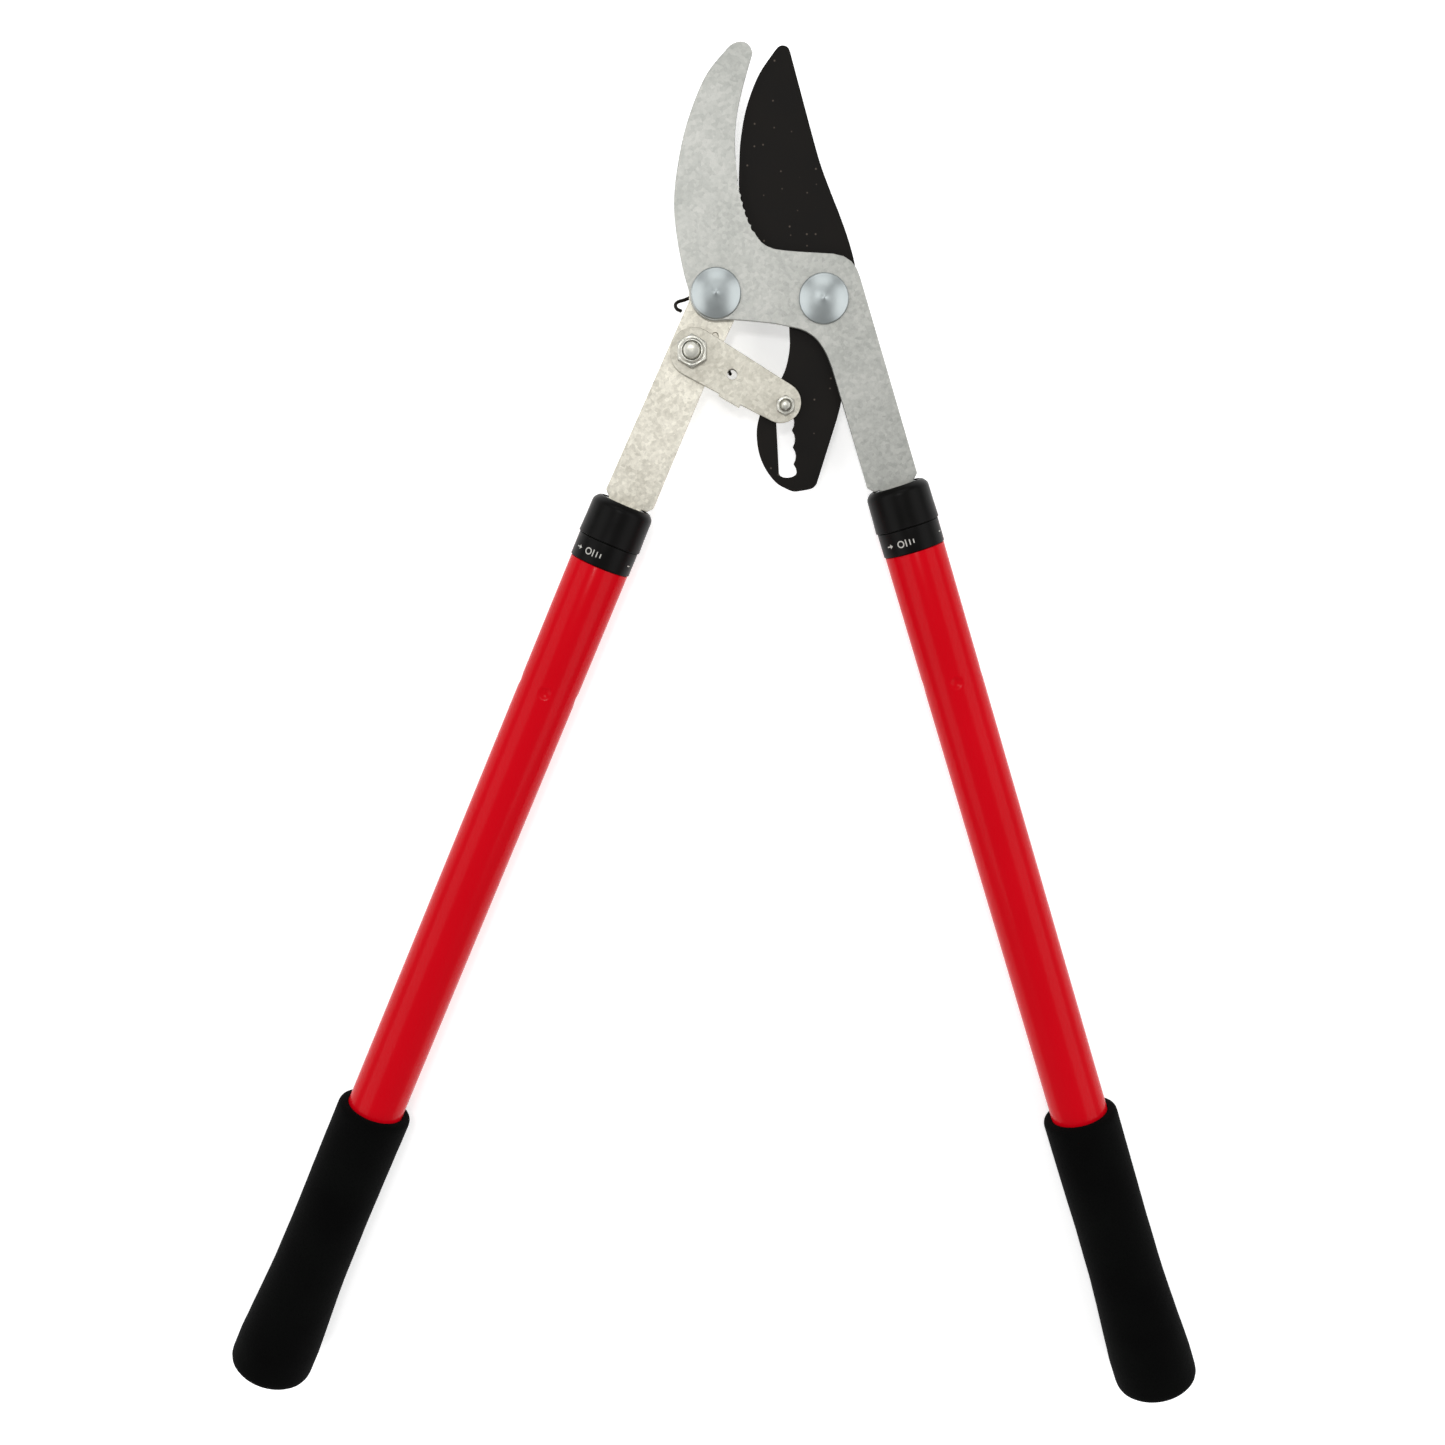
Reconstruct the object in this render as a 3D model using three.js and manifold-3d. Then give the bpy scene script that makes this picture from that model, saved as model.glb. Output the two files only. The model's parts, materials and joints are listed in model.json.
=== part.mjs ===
import * as THREE from "three";
import { mergeVertices } from "three/addons/utils/BufferGeometryUtils.js";
import Module from "manifold-3d";

// Telescopic ratchet loppers with a bypass blade, lying flat on their back.
// Millimetres. +X is right, +Y points towards the blades, +Z is up, out of the front face.
// Everything is first laid out about the blade pivot, with both tube axes at height 0.

const wasm = await Module();
wasm.setup();

// ---- plates: the hook plate lies above height 0, the blade and the left arm below it ----
const plateThickness = 4;
const plateGap = 0.3;
const armOverhang = 0.8;                   // both arms are this much wider than the inner tube, each side
const armInset = 1.2;                      // and sit this far inside their tube's axis
const shoulderRound = 2.4;
const hookEyeRadius = 11.9;
const armEyeRadius = 12.6;
const armCornerDrop = 6.8;                 // hook pivot down to the corner that the spring hooks over
const punchMark = new THREE.Vector2(-48.8, -16);
const punchMarkDiameter = 3;
const punchMarkDepth = 0.8;
const frontBase = plateGap / 2;
const frontTop = frontBase + plateThickness;
const rearTop = -plateGap / 2;
const rearBase = rearTop - plateThickness;

// ---- pivots ----
const bladePivot = new THREE.Vector2(0, 0);
const hookPivot = new THREE.Vector2(-48.3, 2.3);
const linkPivot = new THREE.Vector2(-59.2, -22.8);
const ratchetPoint = new THREE.Vector2(-16.8, -46.8);
const boltDiameter = 8;
const ratchetPinDiameter = 5;
const boltHoleClearance = 0.35;            // all round a shank in its hole
const headDiameter = 22.4;
const headRim = 1.6;
const headDome = 3.4;
const faceGap = 0.3;                       // between faces that touch
const largeNutAcross = 13;
const largeNutHeight = 6.5;
const largeHeadHeight = 5.3;
const smallNutAcross = 8;
const smallNutHeight = 4;
const smallHeadHeight = 3.5;
const washerThickness = 1.4;
const washerDiameter = 18;
const linkWasherDiameter = 15;
const threadShow = 1.8;                    // bolt end past its nut

// ---- hook and blade ----
const jawReach = 108.2;                    // blade pivot to the hook's tip
const bladeShort = 0.6;                    // the blade's tip stops this far below the hook's
const drawnReach = 108.2;                  // the reach at which the jaw outlines below are drawn
const jawRoot = 25;                        // height above which the outlines stretch with the reach
const serrationPitch = 3.4;
const serrationDepth = 0.7;
const serratedLength = 26;                 // of the hook's inner edge, from its root
const bevelWidth = 9;
const bevelLand = 0.5;                     // edge thickness left on the bevel

// ---- ratchet tail ----
const notchCount = 5;
const notchPitch = 7.65;
const notchDepth = 1.3;
const slotLean = THREE.MathUtils.degToRad(3.4);
const slotWidth = 8.3;                     // to the bottom of a notch
const slotFreeLength = 3;                  // slot past the first notch, under the link
const firstNotchRelief = 0.9;              // extra room beside the first notch, under the link
const slotEndDepth = 2.2;                  // rounding past the last notch
const rollerDiameter = 6.4;
const rollerPlay = 0.7;                    // roller to notch
const rollerBoreClearance = 0.15;

// ---- link, a U of sheet with its web along the lower edge ----
const linkSheet = 2.3;
const linkNarrow = 9.2;                    // half width at the ratchet pin
const linkWide = 11;                       // half width at the link pivot
const linkNarrowSetback = 2.3;             // the end arcs are centred this far inside the two holes
const linkWideSetback = 1;
const linkHoleDiameter = 4.6;
const linkHoleAlong = 20.9;
const linkWebStart = 20;
const linkWebLength = 11;
const linkWebBulge = 1.3;

// ---- return spring ----
const springWire = 1.6;
const springRadius = 7.2;
const springTurns = 1.92;
const springPitch = 1.8;

// ---- telescopic handles ----
const rightLean = THREE.MathUtils.degToRad(17.6);
const leftLean = THREE.MathUtils.degToRad(-23.2);
const rightMouth = new THREE.Vector2(34.5, -83);
const leftMouth = new THREE.Vector2(-90.5, -91.3);
const innerTubeDiameter = 22;
const innerTubeWall = 1.2;
const outerTubeWall = 1.2;
const slideClearance = 0.35;
const bushWall = 1.1;                      // the guide bush fills the space between the two tubes
const handleLength = 479.5;                // collar mouth to grip end
const collarLength = 19;
const bandLength = 11.2;
const collarWall = 1.35;
const collarLip = 2.4;
const collarCone = 0.8;                    // the collar's inner cone narrows by this towards the lip
const bandStep = 0.4;                      // the band stands this proud of the outer tube
const colletSplit = 1.6;
const collarThreadDepth = 9;               // sleeve spigot inside the collar
const spigotWall = 1.65;
const sleeveInsertLength = 22;             // sleeve inside the outer tube
const innerTubeFreeEnd = 12.5;             // inner tube to end plug with the handle closed
const endStopLength = 14;
const bushLength = 18;
const tangLength = 62;
const tangPinDiameter = 4;
const tangPinSpacing = 28;
const dimpleDistance = 94.5;
const dimpleDepth = 0.7;
const dimpleRadius = 3.2;
const dimpleCount = 4;
const dimpleRoom = 0.6;                    // the bush's groove is this much wider than a dimple, each side
const gripLength = 155;
const gripWall = 4.15;
const gripFlare = 2.25;                    // the grip's end swells by this all round
const gripFlareLength = 58;
const gripEndWall = 5;
const plugLength = 22;

const smooth = 36;                         // sides on the large round pieces
const coarse = 24;                         // sides on the small ones

function solidOf(geometry) {
  const bare = geometry.clone();
  bare.deleteAttribute("normal");
  bare.deleteAttribute("uv");
  const merged = mergeVertices(bare, 1e-4);
  return new wasm.Manifold(new wasm.Mesh({
    numProp: 3,
    vertProperties: new Float32Array(merged.attributes.position.array),
    triVerts: new Uint32Array(merged.index.array),
  }));
}

function geometryOf(solid) {
  const mesh = solid.getMesh();
  const geometry = new THREE.BufferGeometry();
  geometry.setAttribute("position", new THREE.BufferAttribute(mesh.vertProperties, 3));
  geometry.setIndex(new THREE.BufferAttribute(mesh.triVerts, 1));
  geometry.computeVertexNormals();
  return geometry;
}

function plate(shape, base, top, curveSegments = 4) {
  const depth = top - base;
  const geometry = new THREE.ExtrudeGeometry(shape, { depth, bevelEnabled: false, curveSegments });
  geometry.translate(0, 0, base);
  return solidOf(geometry);
}

function rod(diameter, base, top, place = bladePivot, sides = coarse) {
  const geometry = new THREE.CylinderGeometry(diameter / 2, diameter / 2, top - base, sides);
  geometry.rotateX(Math.PI / 2);
  geometry.translate(place.x, place.y, (base + top) / 2);
  return solidOf(geometry);
}

// A turned piece: profile points are [radius, height], closed on itself or on the axis.
function turned(profile, sides = smooth) {
  return solidOf(new THREE.LatheGeometry(profile.map(([r, h]) => new THREE.Vector2(r, h)), sides));
}

function ring(outer, inner, low, high, sides = smooth) {
  return turned([[inner, low], [outer, low], [outer, high], [inner, high], [inner, low]], sides);
}

function uprightRing(outerDiameter, innerDiameter, base, top, place, sides = coarse) {
  const hole = rod(innerDiameter, base - 1, top + 1, place, sides);
  return rod(outerDiameter, base, top, place, sides).subtract(hole);
}

function hexagon(across, base, top, place) {
  const corner = across / Math.sqrt(3);
  const chamfer = (corner - across / 2) * 0.75;
  const geometry = new THREE.CylinderGeometry(corner, corner, top - base, 6);
  geometry.rotateX(Math.PI / 2);
  geometry.translate(place.x, place.y, (base + top) / 2);
  const crown = turned([
    [0, base - 0.2], [across / 2 - 0.2, base - 0.2], [corner + 0.2, base + chamfer],
    [corner + 0.2, top - chamfer], [across / 2 - 0.2, top + 0.2], [0, top + 0.2],
  ], coarse);
  return solidOf(geometry).intersect(placedUpright(crown, place));
}

function along(start, lean, distance, offset) {
  return new THREE.Vector2(
    start.x + Math.sin(lean) * distance + Math.cos(lean) * offset,
    start.y - Math.cos(lean) * distance + Math.sin(lean) * offset,
  );
}

const jawStretch = (jawReach - jawRoot) / (drawnReach - jawRoot);
const jawHeight = (y) => (y > jawRoot ? jawRoot + (y - jawRoot) * jawStretch : y);
const points = (list) => list.map(([x, y]) => new THREE.Vector2(x, jawHeight(y)));
const to = (shape, point) => shape.lineTo(point.x, point.y);

const armWidth = innerTubeDiameter + 2 * armOverhang;
const boltHole = boltDiameter + 2 * boltHoleClearance;
const pinHole = ratchetPinDiameter + 2 * boltHoleClearance;
const innerTubeBore = innerTubeDiameter - 2 * innerTubeWall;
const tangRoom = innerTubeBore / 2 - 2 * slideClearance;
const tangWidth = 2 * Math.sqrt(tangRoom ** 2 - frontTop ** 2);

// The end of an arm: square shoulders at the collar mouth, then the tang that goes down the inner tube.
// It is drawn from the inner edge (side -1 for the right arm, +1 for the left) to the outer one.
function armEnd(shape, mouth, lean, side) {
  const shoulder = -faceGap;
  const inner = side * (armWidth / 2 + armInset);
  const outer = -side * (armWidth / 2 - armInset);
  const half = side * tangWidth / 2;
  to(shape, along(mouth, lean, shoulder - shoulderRound, inner));
  to(shape, along(mouth, lean, shoulder, inner - side * shoulderRound));
  to(shape, along(mouth, lean, shoulder, half));
  to(shape, along(mouth, lean, tangLength, half));
  to(shape, along(mouth, lean, tangLength, -half));
  to(shape, along(mouth, lean, shoulder, -half));
  to(shape, along(mouth, lean, shoulder, outer + side * shoulderRound));
  to(shape, along(mouth, lean, shoulder - shoulderRound, outer));
}

function tangHoles(mouth, lean, base, top) {
  return [0, 1].map((n) => rod(tangPinDiameter + 2 * boltHoleClearance, base - 1, top + 1,
    along(mouth, lean, tangLength / 2 + (n - 0.5) * tangPinSpacing, 0), 16));
}

const hookInnerEdge = new THREE.SplineCurve(points([
  [-32.3, 103.7], [-36.4, 90], [-39.2, 77], [-39.9, 64], [-38.5, 50.5], [-34.9, 36.5], [-30.4, 27],
]));

function hookPlate() {
  const shape = new THREE.Shape();
  shape.moveTo(-32.3, jawHeight(103.7));
  shape.quadraticCurveTo(-33.5, jawReach, -37.6, jawReach);
  shape.quadraticCurveTo(-41, jawReach - 0.2, -43.5, jawReach - 3);
  shape.splineThru(points([
    [-53.2, 93.4], [-61.4, 73.5], [-65.7, 54], [-66.9, 40], [-65.8, 27], [-63.2, 13], [-60.2, 2.5],
  ]));
  shape.absarc(hookPivot.x, hookPivot.y, hookEyeRadius, Math.PI * 1.02, Math.PI * 1.48, false);
  shape.splineThru(points([
    [-41, -9.2], [-24.3, -10.6], [-15.3, -12.2], [-8.6, -14], [-3.1, -17.6], [1.2, -23.5], [4.3, -30.7],
  ]));
  to(shape, along(rightMouth, rightLean, -46, -(armWidth / 2 + armInset)));
  armEnd(shape, rightMouth, rightLean, -1);
  shape.lineTo(16.1, 9.5);
  shape.bezierCurveTo(14.6, 14.4, 11.2, 18.9, 3.8, 19.4);
  shape.splineThru(points([[-2, 19.7], [-15, 20.5], [-23, 21.6], [-27.6, 23.8], [-30.4, 27]]));
  shape.splineThru([...hookInnerEdge.points].reverse().slice(1));
  let solid = plate(shape, frontBase, frontTop);
  const edgeLength = hookInnerEdge.getLength();
  const biteRadius = (serrationPitch / 2) ** 2 / (2 * serrationDepth) + serrationDepth / 2;
  for (let back = serrationPitch; back < serratedLength; back += serrationPitch) {
    const at = 1 - back / edgeLength;
    const place = hookInnerEdge.getPointAt(at);
    const tangent = hookInnerEdge.getTangentAt(at);
    const outward = new THREE.Vector2(-tangent.y, tangent.x);
    const centre = place.clone().addScaledVector(outward, biteRadius - serrationDepth);
    solid = solid.subtract(rod(2 * biteRadius, frontBase - 1, frontTop + 1, centre, 16));
  }
  for (const pivot of [hookPivot, bladePivot]) {
    solid = solid.subtract(rod(boltHole, frontBase - 1, frontTop + 1, pivot));
  }
  for (const hole of tangHoles(rightMouth, rightLean, frontBase, frontTop)) {
    solid = solid.subtract(hole);
  }
  return solid;
}

const cuttingEdge = new THREE.SplineCurve(points([
  [-23.5, 104], [-29.8, 94.8], [-34.9, 81.6], [-37.4, 68.2], [-38, 57],
  [-38.1, 48], [-37.5, 40], [-35.4, 31], [-31.3, 23], [-25, 16.5],
]));

// The ground bevel on the blade's rear face: a wedge that follows the cutting edge and runs out at the heel.
function bevelWedge() {
  const stations = 14;
  const skirt = 3;
  const runOut = 0.7;
  const edge = rearTop - bevelLand;
  const slope = (edge - rearBase) / bevelWidth;
  const ribs = [];
  for (let n = 0; n <= stations; n += 1) {
    const at = cuttingEdge.getPointAt(n / stations);
    const tangent = cuttingEdge.getTangentAt(n / stations);
    const inward = new THREE.Vector2(-tangent.y, tangent.x);
    const shift = Math.max(0, (n / stations - runOut) / (1 - runOut)) * (bevelWidth + 2 / slope);
    const out = at.clone().addScaledVector(inward, -skirt - shift);
    const inn = at.clone().addScaledVector(inward, bevelWidth + 1 / slope - shift);
    ribs.push([
      [out.x, out.y, edge + slope * skirt], [inn.x, inn.y, rearBase - 1], [out.x, out.y, rearBase - 1],
    ]);
  }
  const position = ribs.flat(2);
  const index = [];
  for (let n = 0; n < stations; n += 1) {
    for (let k = 0; k < 3; k += 1) {
      const a = 3 * n + k;
      const b = 3 * n + (k + 1) % 3;
      index.push(a, a + 3, b, b, a + 3, b + 3);
    }
  }
  index.push(0, 1, 2);
  index.push(3 * stations, 3 * stations + 2, 3 * stations + 1);
  const geometry = new THREE.BufferGeometry();
  geometry.setAttribute("position", new THREE.Float32BufferAttribute(position, 3));
  geometry.setIndex(index);
  return solidOf(geometry);
}

// A point in the toothed slot's own frame: v runs down the tail from the first notch, u towards the teeth.
function slotPoint(u, v) {
  return along(ratchetPoint, slotLean, v, u);
}

const lastNotch = (notchCount - 1) * notchPitch;
const tailPoints = (list) => list.map(([u, pastLast]) => slotPoint(u, lastNotch + pastLast));

function ratchetSlot() {
  const notchReach = rollerDiameter / 2 + rollerPlay;
  const left = notchReach - slotWidth;
  const arcSteps = 4;
  const slot = new THREE.Shape();
  const start = slotPoint(left, -slotFreeLength);
  slot.moveTo(start.x, start.y);
  to(slot, slotPoint(left, lastNotch));
  for (let n = 1; n < 6; n += 1) {
    const turn = (n / 6) * Math.PI;
    const half = (notchReach - left) / 2;
    to(slot, slotPoint(left + half * (1 - Math.cos(turn)), lastNotch + slotEndDepth * Math.sin(turn)));
  }
  for (let notch = notchCount - 1; notch >= 0; notch -= 1) {
    for (let n = 0; n <= arcSteps; n += 1) {
      const across = 1 - (2 * n) / arcSteps;
      if (notch > 0 || across >= 0) {
        if (notch < notchCount - 1 || across <= 0) {
          const inset = notchDepth * across ** 2;
          to(slot, slotPoint(notchReach - inset, (notch + across / 2) * notchPitch));
        }
      }
    }
  }
  const pocket = notchReach + firstNotchRelief;
  to(slot, slotPoint(pocket, -firstNotchRelief));
  to(slot, slotPoint(pocket, -slotFreeLength));
  for (let n = 1; n < 6; n += 1) {
    const turn = (n / 6) * Math.PI;
    const half = (pocket - left) / 2;
    const rise = slotFreeLength + slotEndDepth * Math.sin(turn);
    to(slot, slotPoint(pocket - half * (1 - Math.cos(turn)), -rise));
  }
  return plate(slot, rearBase - 1, rearTop + 1);
}

function cuttingBlade() {
  const shape = new THREE.Shape();
  const bladeReach = jawReach - bladeShort;
  shape.moveTo(-15.8, bladeReach - 2.4);
  shape.bezierCurveTo(-16.4, bladeReach - 0.6, -17.6, bladeReach, -19.2, bladeReach);
  const tipEnd = cuttingEdge.points[0];
  shape.bezierCurveTo(-20.8, bladeReach, -21.6, bladeReach - 1.1, tipEnd.x, tipEnd.y);
  shape.splineThru(cuttingEdge.points.slice(1));
  shape.splineThru(points([
    [-16.4, 12], [-16, 0], [-15, -14], [-14.9, -22], [-17, -31.5], [-22, -40.5], [-28, -50],
  ]));
  shape.splineThru(tailPoints([[-13.5, -20.2], [-13.2, -10.8], [-10.7, -3], [-5.9, 4.1], [-0.2, 7.8]]));
  shape.splineThru(tailPoints([[2, 8.6], [5, 8.5], [10.4, 7.7], [12.7, 5.8]]));
  to(shape, slotPoint(23.4, 7.6));
  shape.splineThru(points([[8.7, -46], [10.6, -34], [13.4, -12], [15.6, 3], [14.6, 13]]));
  shape.splineThru(points([[13.2, 18.8], [10.7, 26.8], [6.8, 36.9], [2.3, 47.5], [-2.2, 59], [-7, 74.8]]));
  shape.closePath();
  let solid = plate(shape, rearBase, rearTop);
  solid = solid.subtract(ratchetSlot()).subtract(bevelWedge());
  return solid.subtract(rod(boltHole, rearBase - 1, rearTop + 1, bladePivot));
}

// Where the left arm's outer edge reaches the height of its corner.
const armCornerY = hookPivot.y - armCornerDrop;
const armAxisX = leftMouth.x - (armCornerY - leftMouth.y) * Math.tan(leftLean);
const armCorner = new THREE.Vector2(armAxisX - (armWidth / 2 - armInset) / Math.cos(leftLean), armCornerY);

function leftArm() {
  const shape = new THREE.Shape();
  shape.moveTo(armCorner.x, armCorner.y);
  shape.absarc(hookPivot.x, hookPivot.y, armEyeRadius, Math.PI * 1.08, -Math.PI * 0.1, true);
  to(shape, along(leftMouth, leftLean, -78, armWidth / 2 + armInset));
  armEnd(shape, leftMouth, leftLean, 1);
  let solid = plate(shape, rearBase, rearTop);
  solid = solid.subtract(rod(punchMarkDiameter, rearTop - punchMarkDepth, rearTop + 1, punchMark, 16));
  for (const pivot of [hookPivot, linkPivot]) {
    solid = solid.subtract(rod(boltHole, rearBase - 1, rearTop + 1, pivot));
  }
  for (const hole of tangHoles(leftMouth, leftLean, rearBase, rearTop)) {
    solid = solid.subtract(hole);
  }
  return solid;
}

const linkAngle = Math.atan2(ratchetPoint.y - linkPivot.y, ratchetPoint.x - linkPivot.x);
const linkLength = linkPivot.distanceTo(ratchetPoint);
const rearCheekTop = rearBase - faceGap - washerThickness - faceGap;
const rearCheekBase = rearCheekTop - linkSheet;
const linkTop = frontBase + linkSheet;

// The link lies along +X from the link pivot until it is turned into place.
function linkOutline() {
  const shape = new THREE.Shape();
  const span = linkLength - linkWideSetback - linkNarrowSetback;
  const lean = Math.PI / 2 - Math.asin((linkWide - linkNarrow) / span);
  shape.absarc(linkWideSetback, 0, linkWide, lean, -lean, false);
  shape.absarc(linkLength - linkNarrowSetback, 0, linkNarrow, -lean, lean, false);
  return shape;
}

function ratchetLink() {
  const webCentre = linkWebStart + linkWebLength / 2;
  const cheekLow = -linkWide + (linkWide - linkNarrow) * (webCentre / linkLength);
  const webLow = cheekLow - linkWebBulge;
  const web = new THREE.BoxGeometry(linkWebLength, linkSheet, linkTop - rearCheekBase);
  web.translate(webCentre, webLow + linkSheet / 2, (linkTop + rearCheekBase) / 2);
  const flanges = [[frontBase, linkTop], [rearCheekBase, rearCheekTop]].map(([base, top]) => {
    const flange = new THREE.BoxGeometry(linkWebLength, cheekLow + linkSheet - webLow, top - base);
    flange.translate(webCentre, (cheekLow + linkSheet + webLow) / 2, (base + top) / 2);
    return solidOf(flange);
  });
  const pivotAt = new THREE.Vector2(0, 0);
  const pinAt = new THREE.Vector2(linkLength, 0);
  const holeAt = new THREE.Vector2(linkHoleAlong, 0);
  const frontCheek = plate(linkOutline(), frontBase, linkTop, 7);
  const rearCheek = plate(linkOutline(), rearCheekBase, rearCheekTop, 7);
  let solid = frontCheek.add(rearCheek).add(solidOf(web)).add(flanges[0]).add(flanges[1]);
  solid = solid.subtract(rod(boltHole, rearCheekBase - 1, linkTop + 1, pivotAt));
  solid = solid.subtract(rod(pinHole, rearCheekBase - 1, linkTop + 1, pinAt));
  return solid.subtract(rod(linkHoleDiameter, rearCheekBase - 1, linkTop + 1, holeAt, 20));
}

// A domed bolt whose head sits on the front face and whose shank passes down through the plates.
function domedBolt(place, seat, end) {
  const low = seat + faceGap;
  const profile = [
    [0, end], [boltDiameter / 2, end], [boltDiameter / 2, low], [headDiameter / 2, low],
    [headDiameter / 2, low + headRim * 0.6], [headDiameter / 2 - 0.7, low + headRim],
    [headDiameter * 0.36, low + headRim + headDome * 0.42],
    [headDiameter * 0.2, low + headRim + headDome * 0.8],
    [headDiameter * 0.07, low + headRim + headDome], [0, low + headRim + headDome],
  ];
  return placedUpright(turned(profile), place);
}

// Stands a piece turned about +Y upright at a place in the plates' plane.
function placedUpright(solid, place) {
  return solid.rotate([90, 0, 0]).translate([place.x, place.y, 0]);
}

// A hex bolt whose head is under the link's rear cheek and whose end passes up through its nut.
function hexBolt(place, diameter, across, headHeight, end) {
  const headTop = rearCheekBase - faceGap;
  const head = hexagon(across, headTop - headHeight, headTop, place);
  return head.add(rod(diameter, headTop - headHeight / 2, end, place));
}

function nut(place, across, hole, base, height) {
  return hexagon(across, base, base + height, place).subtract(rod(hole, base - 1, base + height + 1, place));
}

const springTop = rearBase - faceGap - springWire / 2;
const springBottom = springTop - springTurns * springPitch;
const hookWasherTop = springBottom - springWire / 2 - faceGap;

function returnSpring() {
  const behind = rearBase - faceGap - springWire / 2;
  const path = [
    new THREE.Vector3(armCorner.x + 0.65, armCorner.y - 0.7, rearTop + springWire * 0.7),
    new THREE.Vector3(armCorner.x - 1.35, armCorner.y + 0.5, -springWire * 0.4),
    new THREE.Vector3(armCorner.x - 1.65, armCorner.y + 2.9, -springWire * 1.8),
    new THREE.Vector3(armCorner.x + 2.25, armCorner.y + 4.7, behind),
    new THREE.Vector3(hookPivot.x - springRadius - 2.5, hookPivot.y - 0.9, behind),
  ];
  const firstTurn = THREE.MathUtils.degToRad(230);
  const steps = 12;
  const count = Math.round(springTurns * steps);
  for (let n = 0; n <= count; n += 1) {
    const share = n / count;
    const turn = firstTurn + share * springTurns * 2 * Math.PI;
    path.push(new THREE.Vector3(
      hookPivot.x + springRadius * Math.cos(turn),
      hookPivot.y + springRadius * Math.sin(turn),
      springTop - share * springTurns * springPitch,
    ));
  }
  const hole = linkPivot.clone().lerp(ratchetPoint, linkHoleAlong / linkLength);
  path.push(new THREE.Vector3(hole.x - 2.4, hole.y + 5, rearCheekBase - springWire * 0.9));
  path.push(new THREE.Vector3(hole.x - 1.1, hole.y + 1.2, rearCheekBase - springWire * 0.5));
  path.push(new THREE.Vector3(hole.x - 0.8, hole.y + 0.5, rearCheekTop - 0.2));
  const curve = new THREE.CatmullRomCurve3(path, false, "centripetal");
  const section = new THREE.Shape();
  section.absarc(0, 0, springWire / 2, 0, 2 * Math.PI, false);
  return solidOf(new THREE.ExtrudeGeometry(section, { steps: 64, extrudePath: curve, curveSegments: 4 }));
}

// ---- handle pieces, each turned about +Y with the collar mouth at height 0 and the grip at -Y ----
const sleeveBore = innerTubeDiameter + 2 * slideClearance;
const outerTubeBore = sleeveBore + 2 * (bushWall + slideClearance);
const outerTubeDiameter = outerTubeBore + 2 * outerTubeWall;
const bandDiameter = outerTubeDiameter + 2 * bandStep;
const spigotDiameter = sleeveBore + 2 * spigotWall;
const coneLow = spigotDiameter / 2 + slideClearance;   // the collar's inner cone, radius at the spigot
const coneHigh = coneLow - collarCone;                       // and at the lip
const innerTubeLength = handleLength - gripEndWall - plugLength - innerTubeFreeEnd;
const sleeveTop = -(collarLength - collarThreadDepth);
const bandTop = -(collarLength + faceGap);
const bandBottom = bandTop - bandLength;
const tubeTop = bandBottom - faceGap;
const tubeBottom = -(handleLength - gripEndWall - faceGap);

function innerTube() {
  const solid = ring(innerTubeDiameter / 2, innerTubeBore / 2, -innerTubeLength, -2 * faceGap);
  return withPinHoles(solid);
}

function withPinHoles(solid) {
  let drilled = solid;
  for (const n of [0, 1]) {
    const radius = tangPinDiameter / 2 + boltHoleClearance;
    const hole = new THREE.CylinderGeometry(radius, radius, innerTubeDiameter + 4, 16);
    hole.rotateX(Math.PI / 2);
    hole.translate(0, -(tangLength / 2 + (n - 0.5) * tangPinSpacing), 0);
    drilled = drilled.subtract(solidOf(hole));
  }
  return drilled;
}

// The plastic filler that centres the tang in the inner tube; the tang lies on one side of the axis.
function tangPlug(side) {
  const low = -(tangLength + 4);
  const high = -1;
  const radius = innerTubeBore / 2 - slideClearance;
  const body = turned([[0, low], [radius, low], [radius, high], [0, high]], coarse);
  const base = side > 0 ? frontBase : rearBase;
  const room = 2 * faceGap;
  const slot = new THREE.BoxGeometry(tangWidth + room, tangLength + room, plateThickness + room);
  slot.translate(0, -tangLength / 2, base + plateThickness / 2);
  return withPinHoles(body.subtract(solidOf(slot)));
}

function tangPin(n) {
  const radius = tangPinDiameter / 2;
  const pin = new THREE.CylinderGeometry(radius, radius, innerTubeDiameter - 2 * faceGap, 16);
  pin.rotateX(Math.PI / 2);
  pin.translate(0, -(tangLength / 2 + (n - 0.5) * tangPinSpacing), 0);
  return solidOf(pin);
}

function endStop() {
  const low = -innerTubeLength;
  return ring(outerTubeBore / 2 - slideClearance, sleeveBore / 2, low, low + endStopLength);
}

function guideBush() {
  const low = -dimpleDistance - bushLength / 2;
  const high = low + bushLength;
  const grooveLow = -dimpleDistance - dimpleRadius - dimpleRoom;
  const grooveHigh = -dimpleDistance + dimpleRadius + dimpleRoom;
  const outer = outerTubeBore / 2 - slideClearance;
  const neck = outer - dimpleDepth;
  const inner = sleeveBore / 2;
  return turned([
    [inner, low], [outer, low], [outer, grooveLow], [neck, grooveLow], [neck, grooveHigh],
    [outer, grooveHigh], [outer, high], [inner, high], [inner, low],
  ]);
}

function outerTube() {
  const radius = outerTubeDiameter / 2;
  let solid = ring(radius, outerTubeBore / 2, tubeBottom, tubeTop);
  const ballRadius = (dimpleRadius ** 2 + dimpleDepth ** 2) / (2 * dimpleDepth);
  for (let n = 0; n < dimpleCount; n += 1) {
    const turn = (n / dimpleCount) * 2 * Math.PI;
    const reach = radius + ballRadius - dimpleDepth;
    const ball = new THREE.SphereGeometry(ballRadius, 24, 16);
    ball.translate(reach * Math.sin(turn), -dimpleDistance, reach * Math.cos(turn));
    solid = solid.subtract(solidOf(ball));
  }
  return solid;
}

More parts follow.
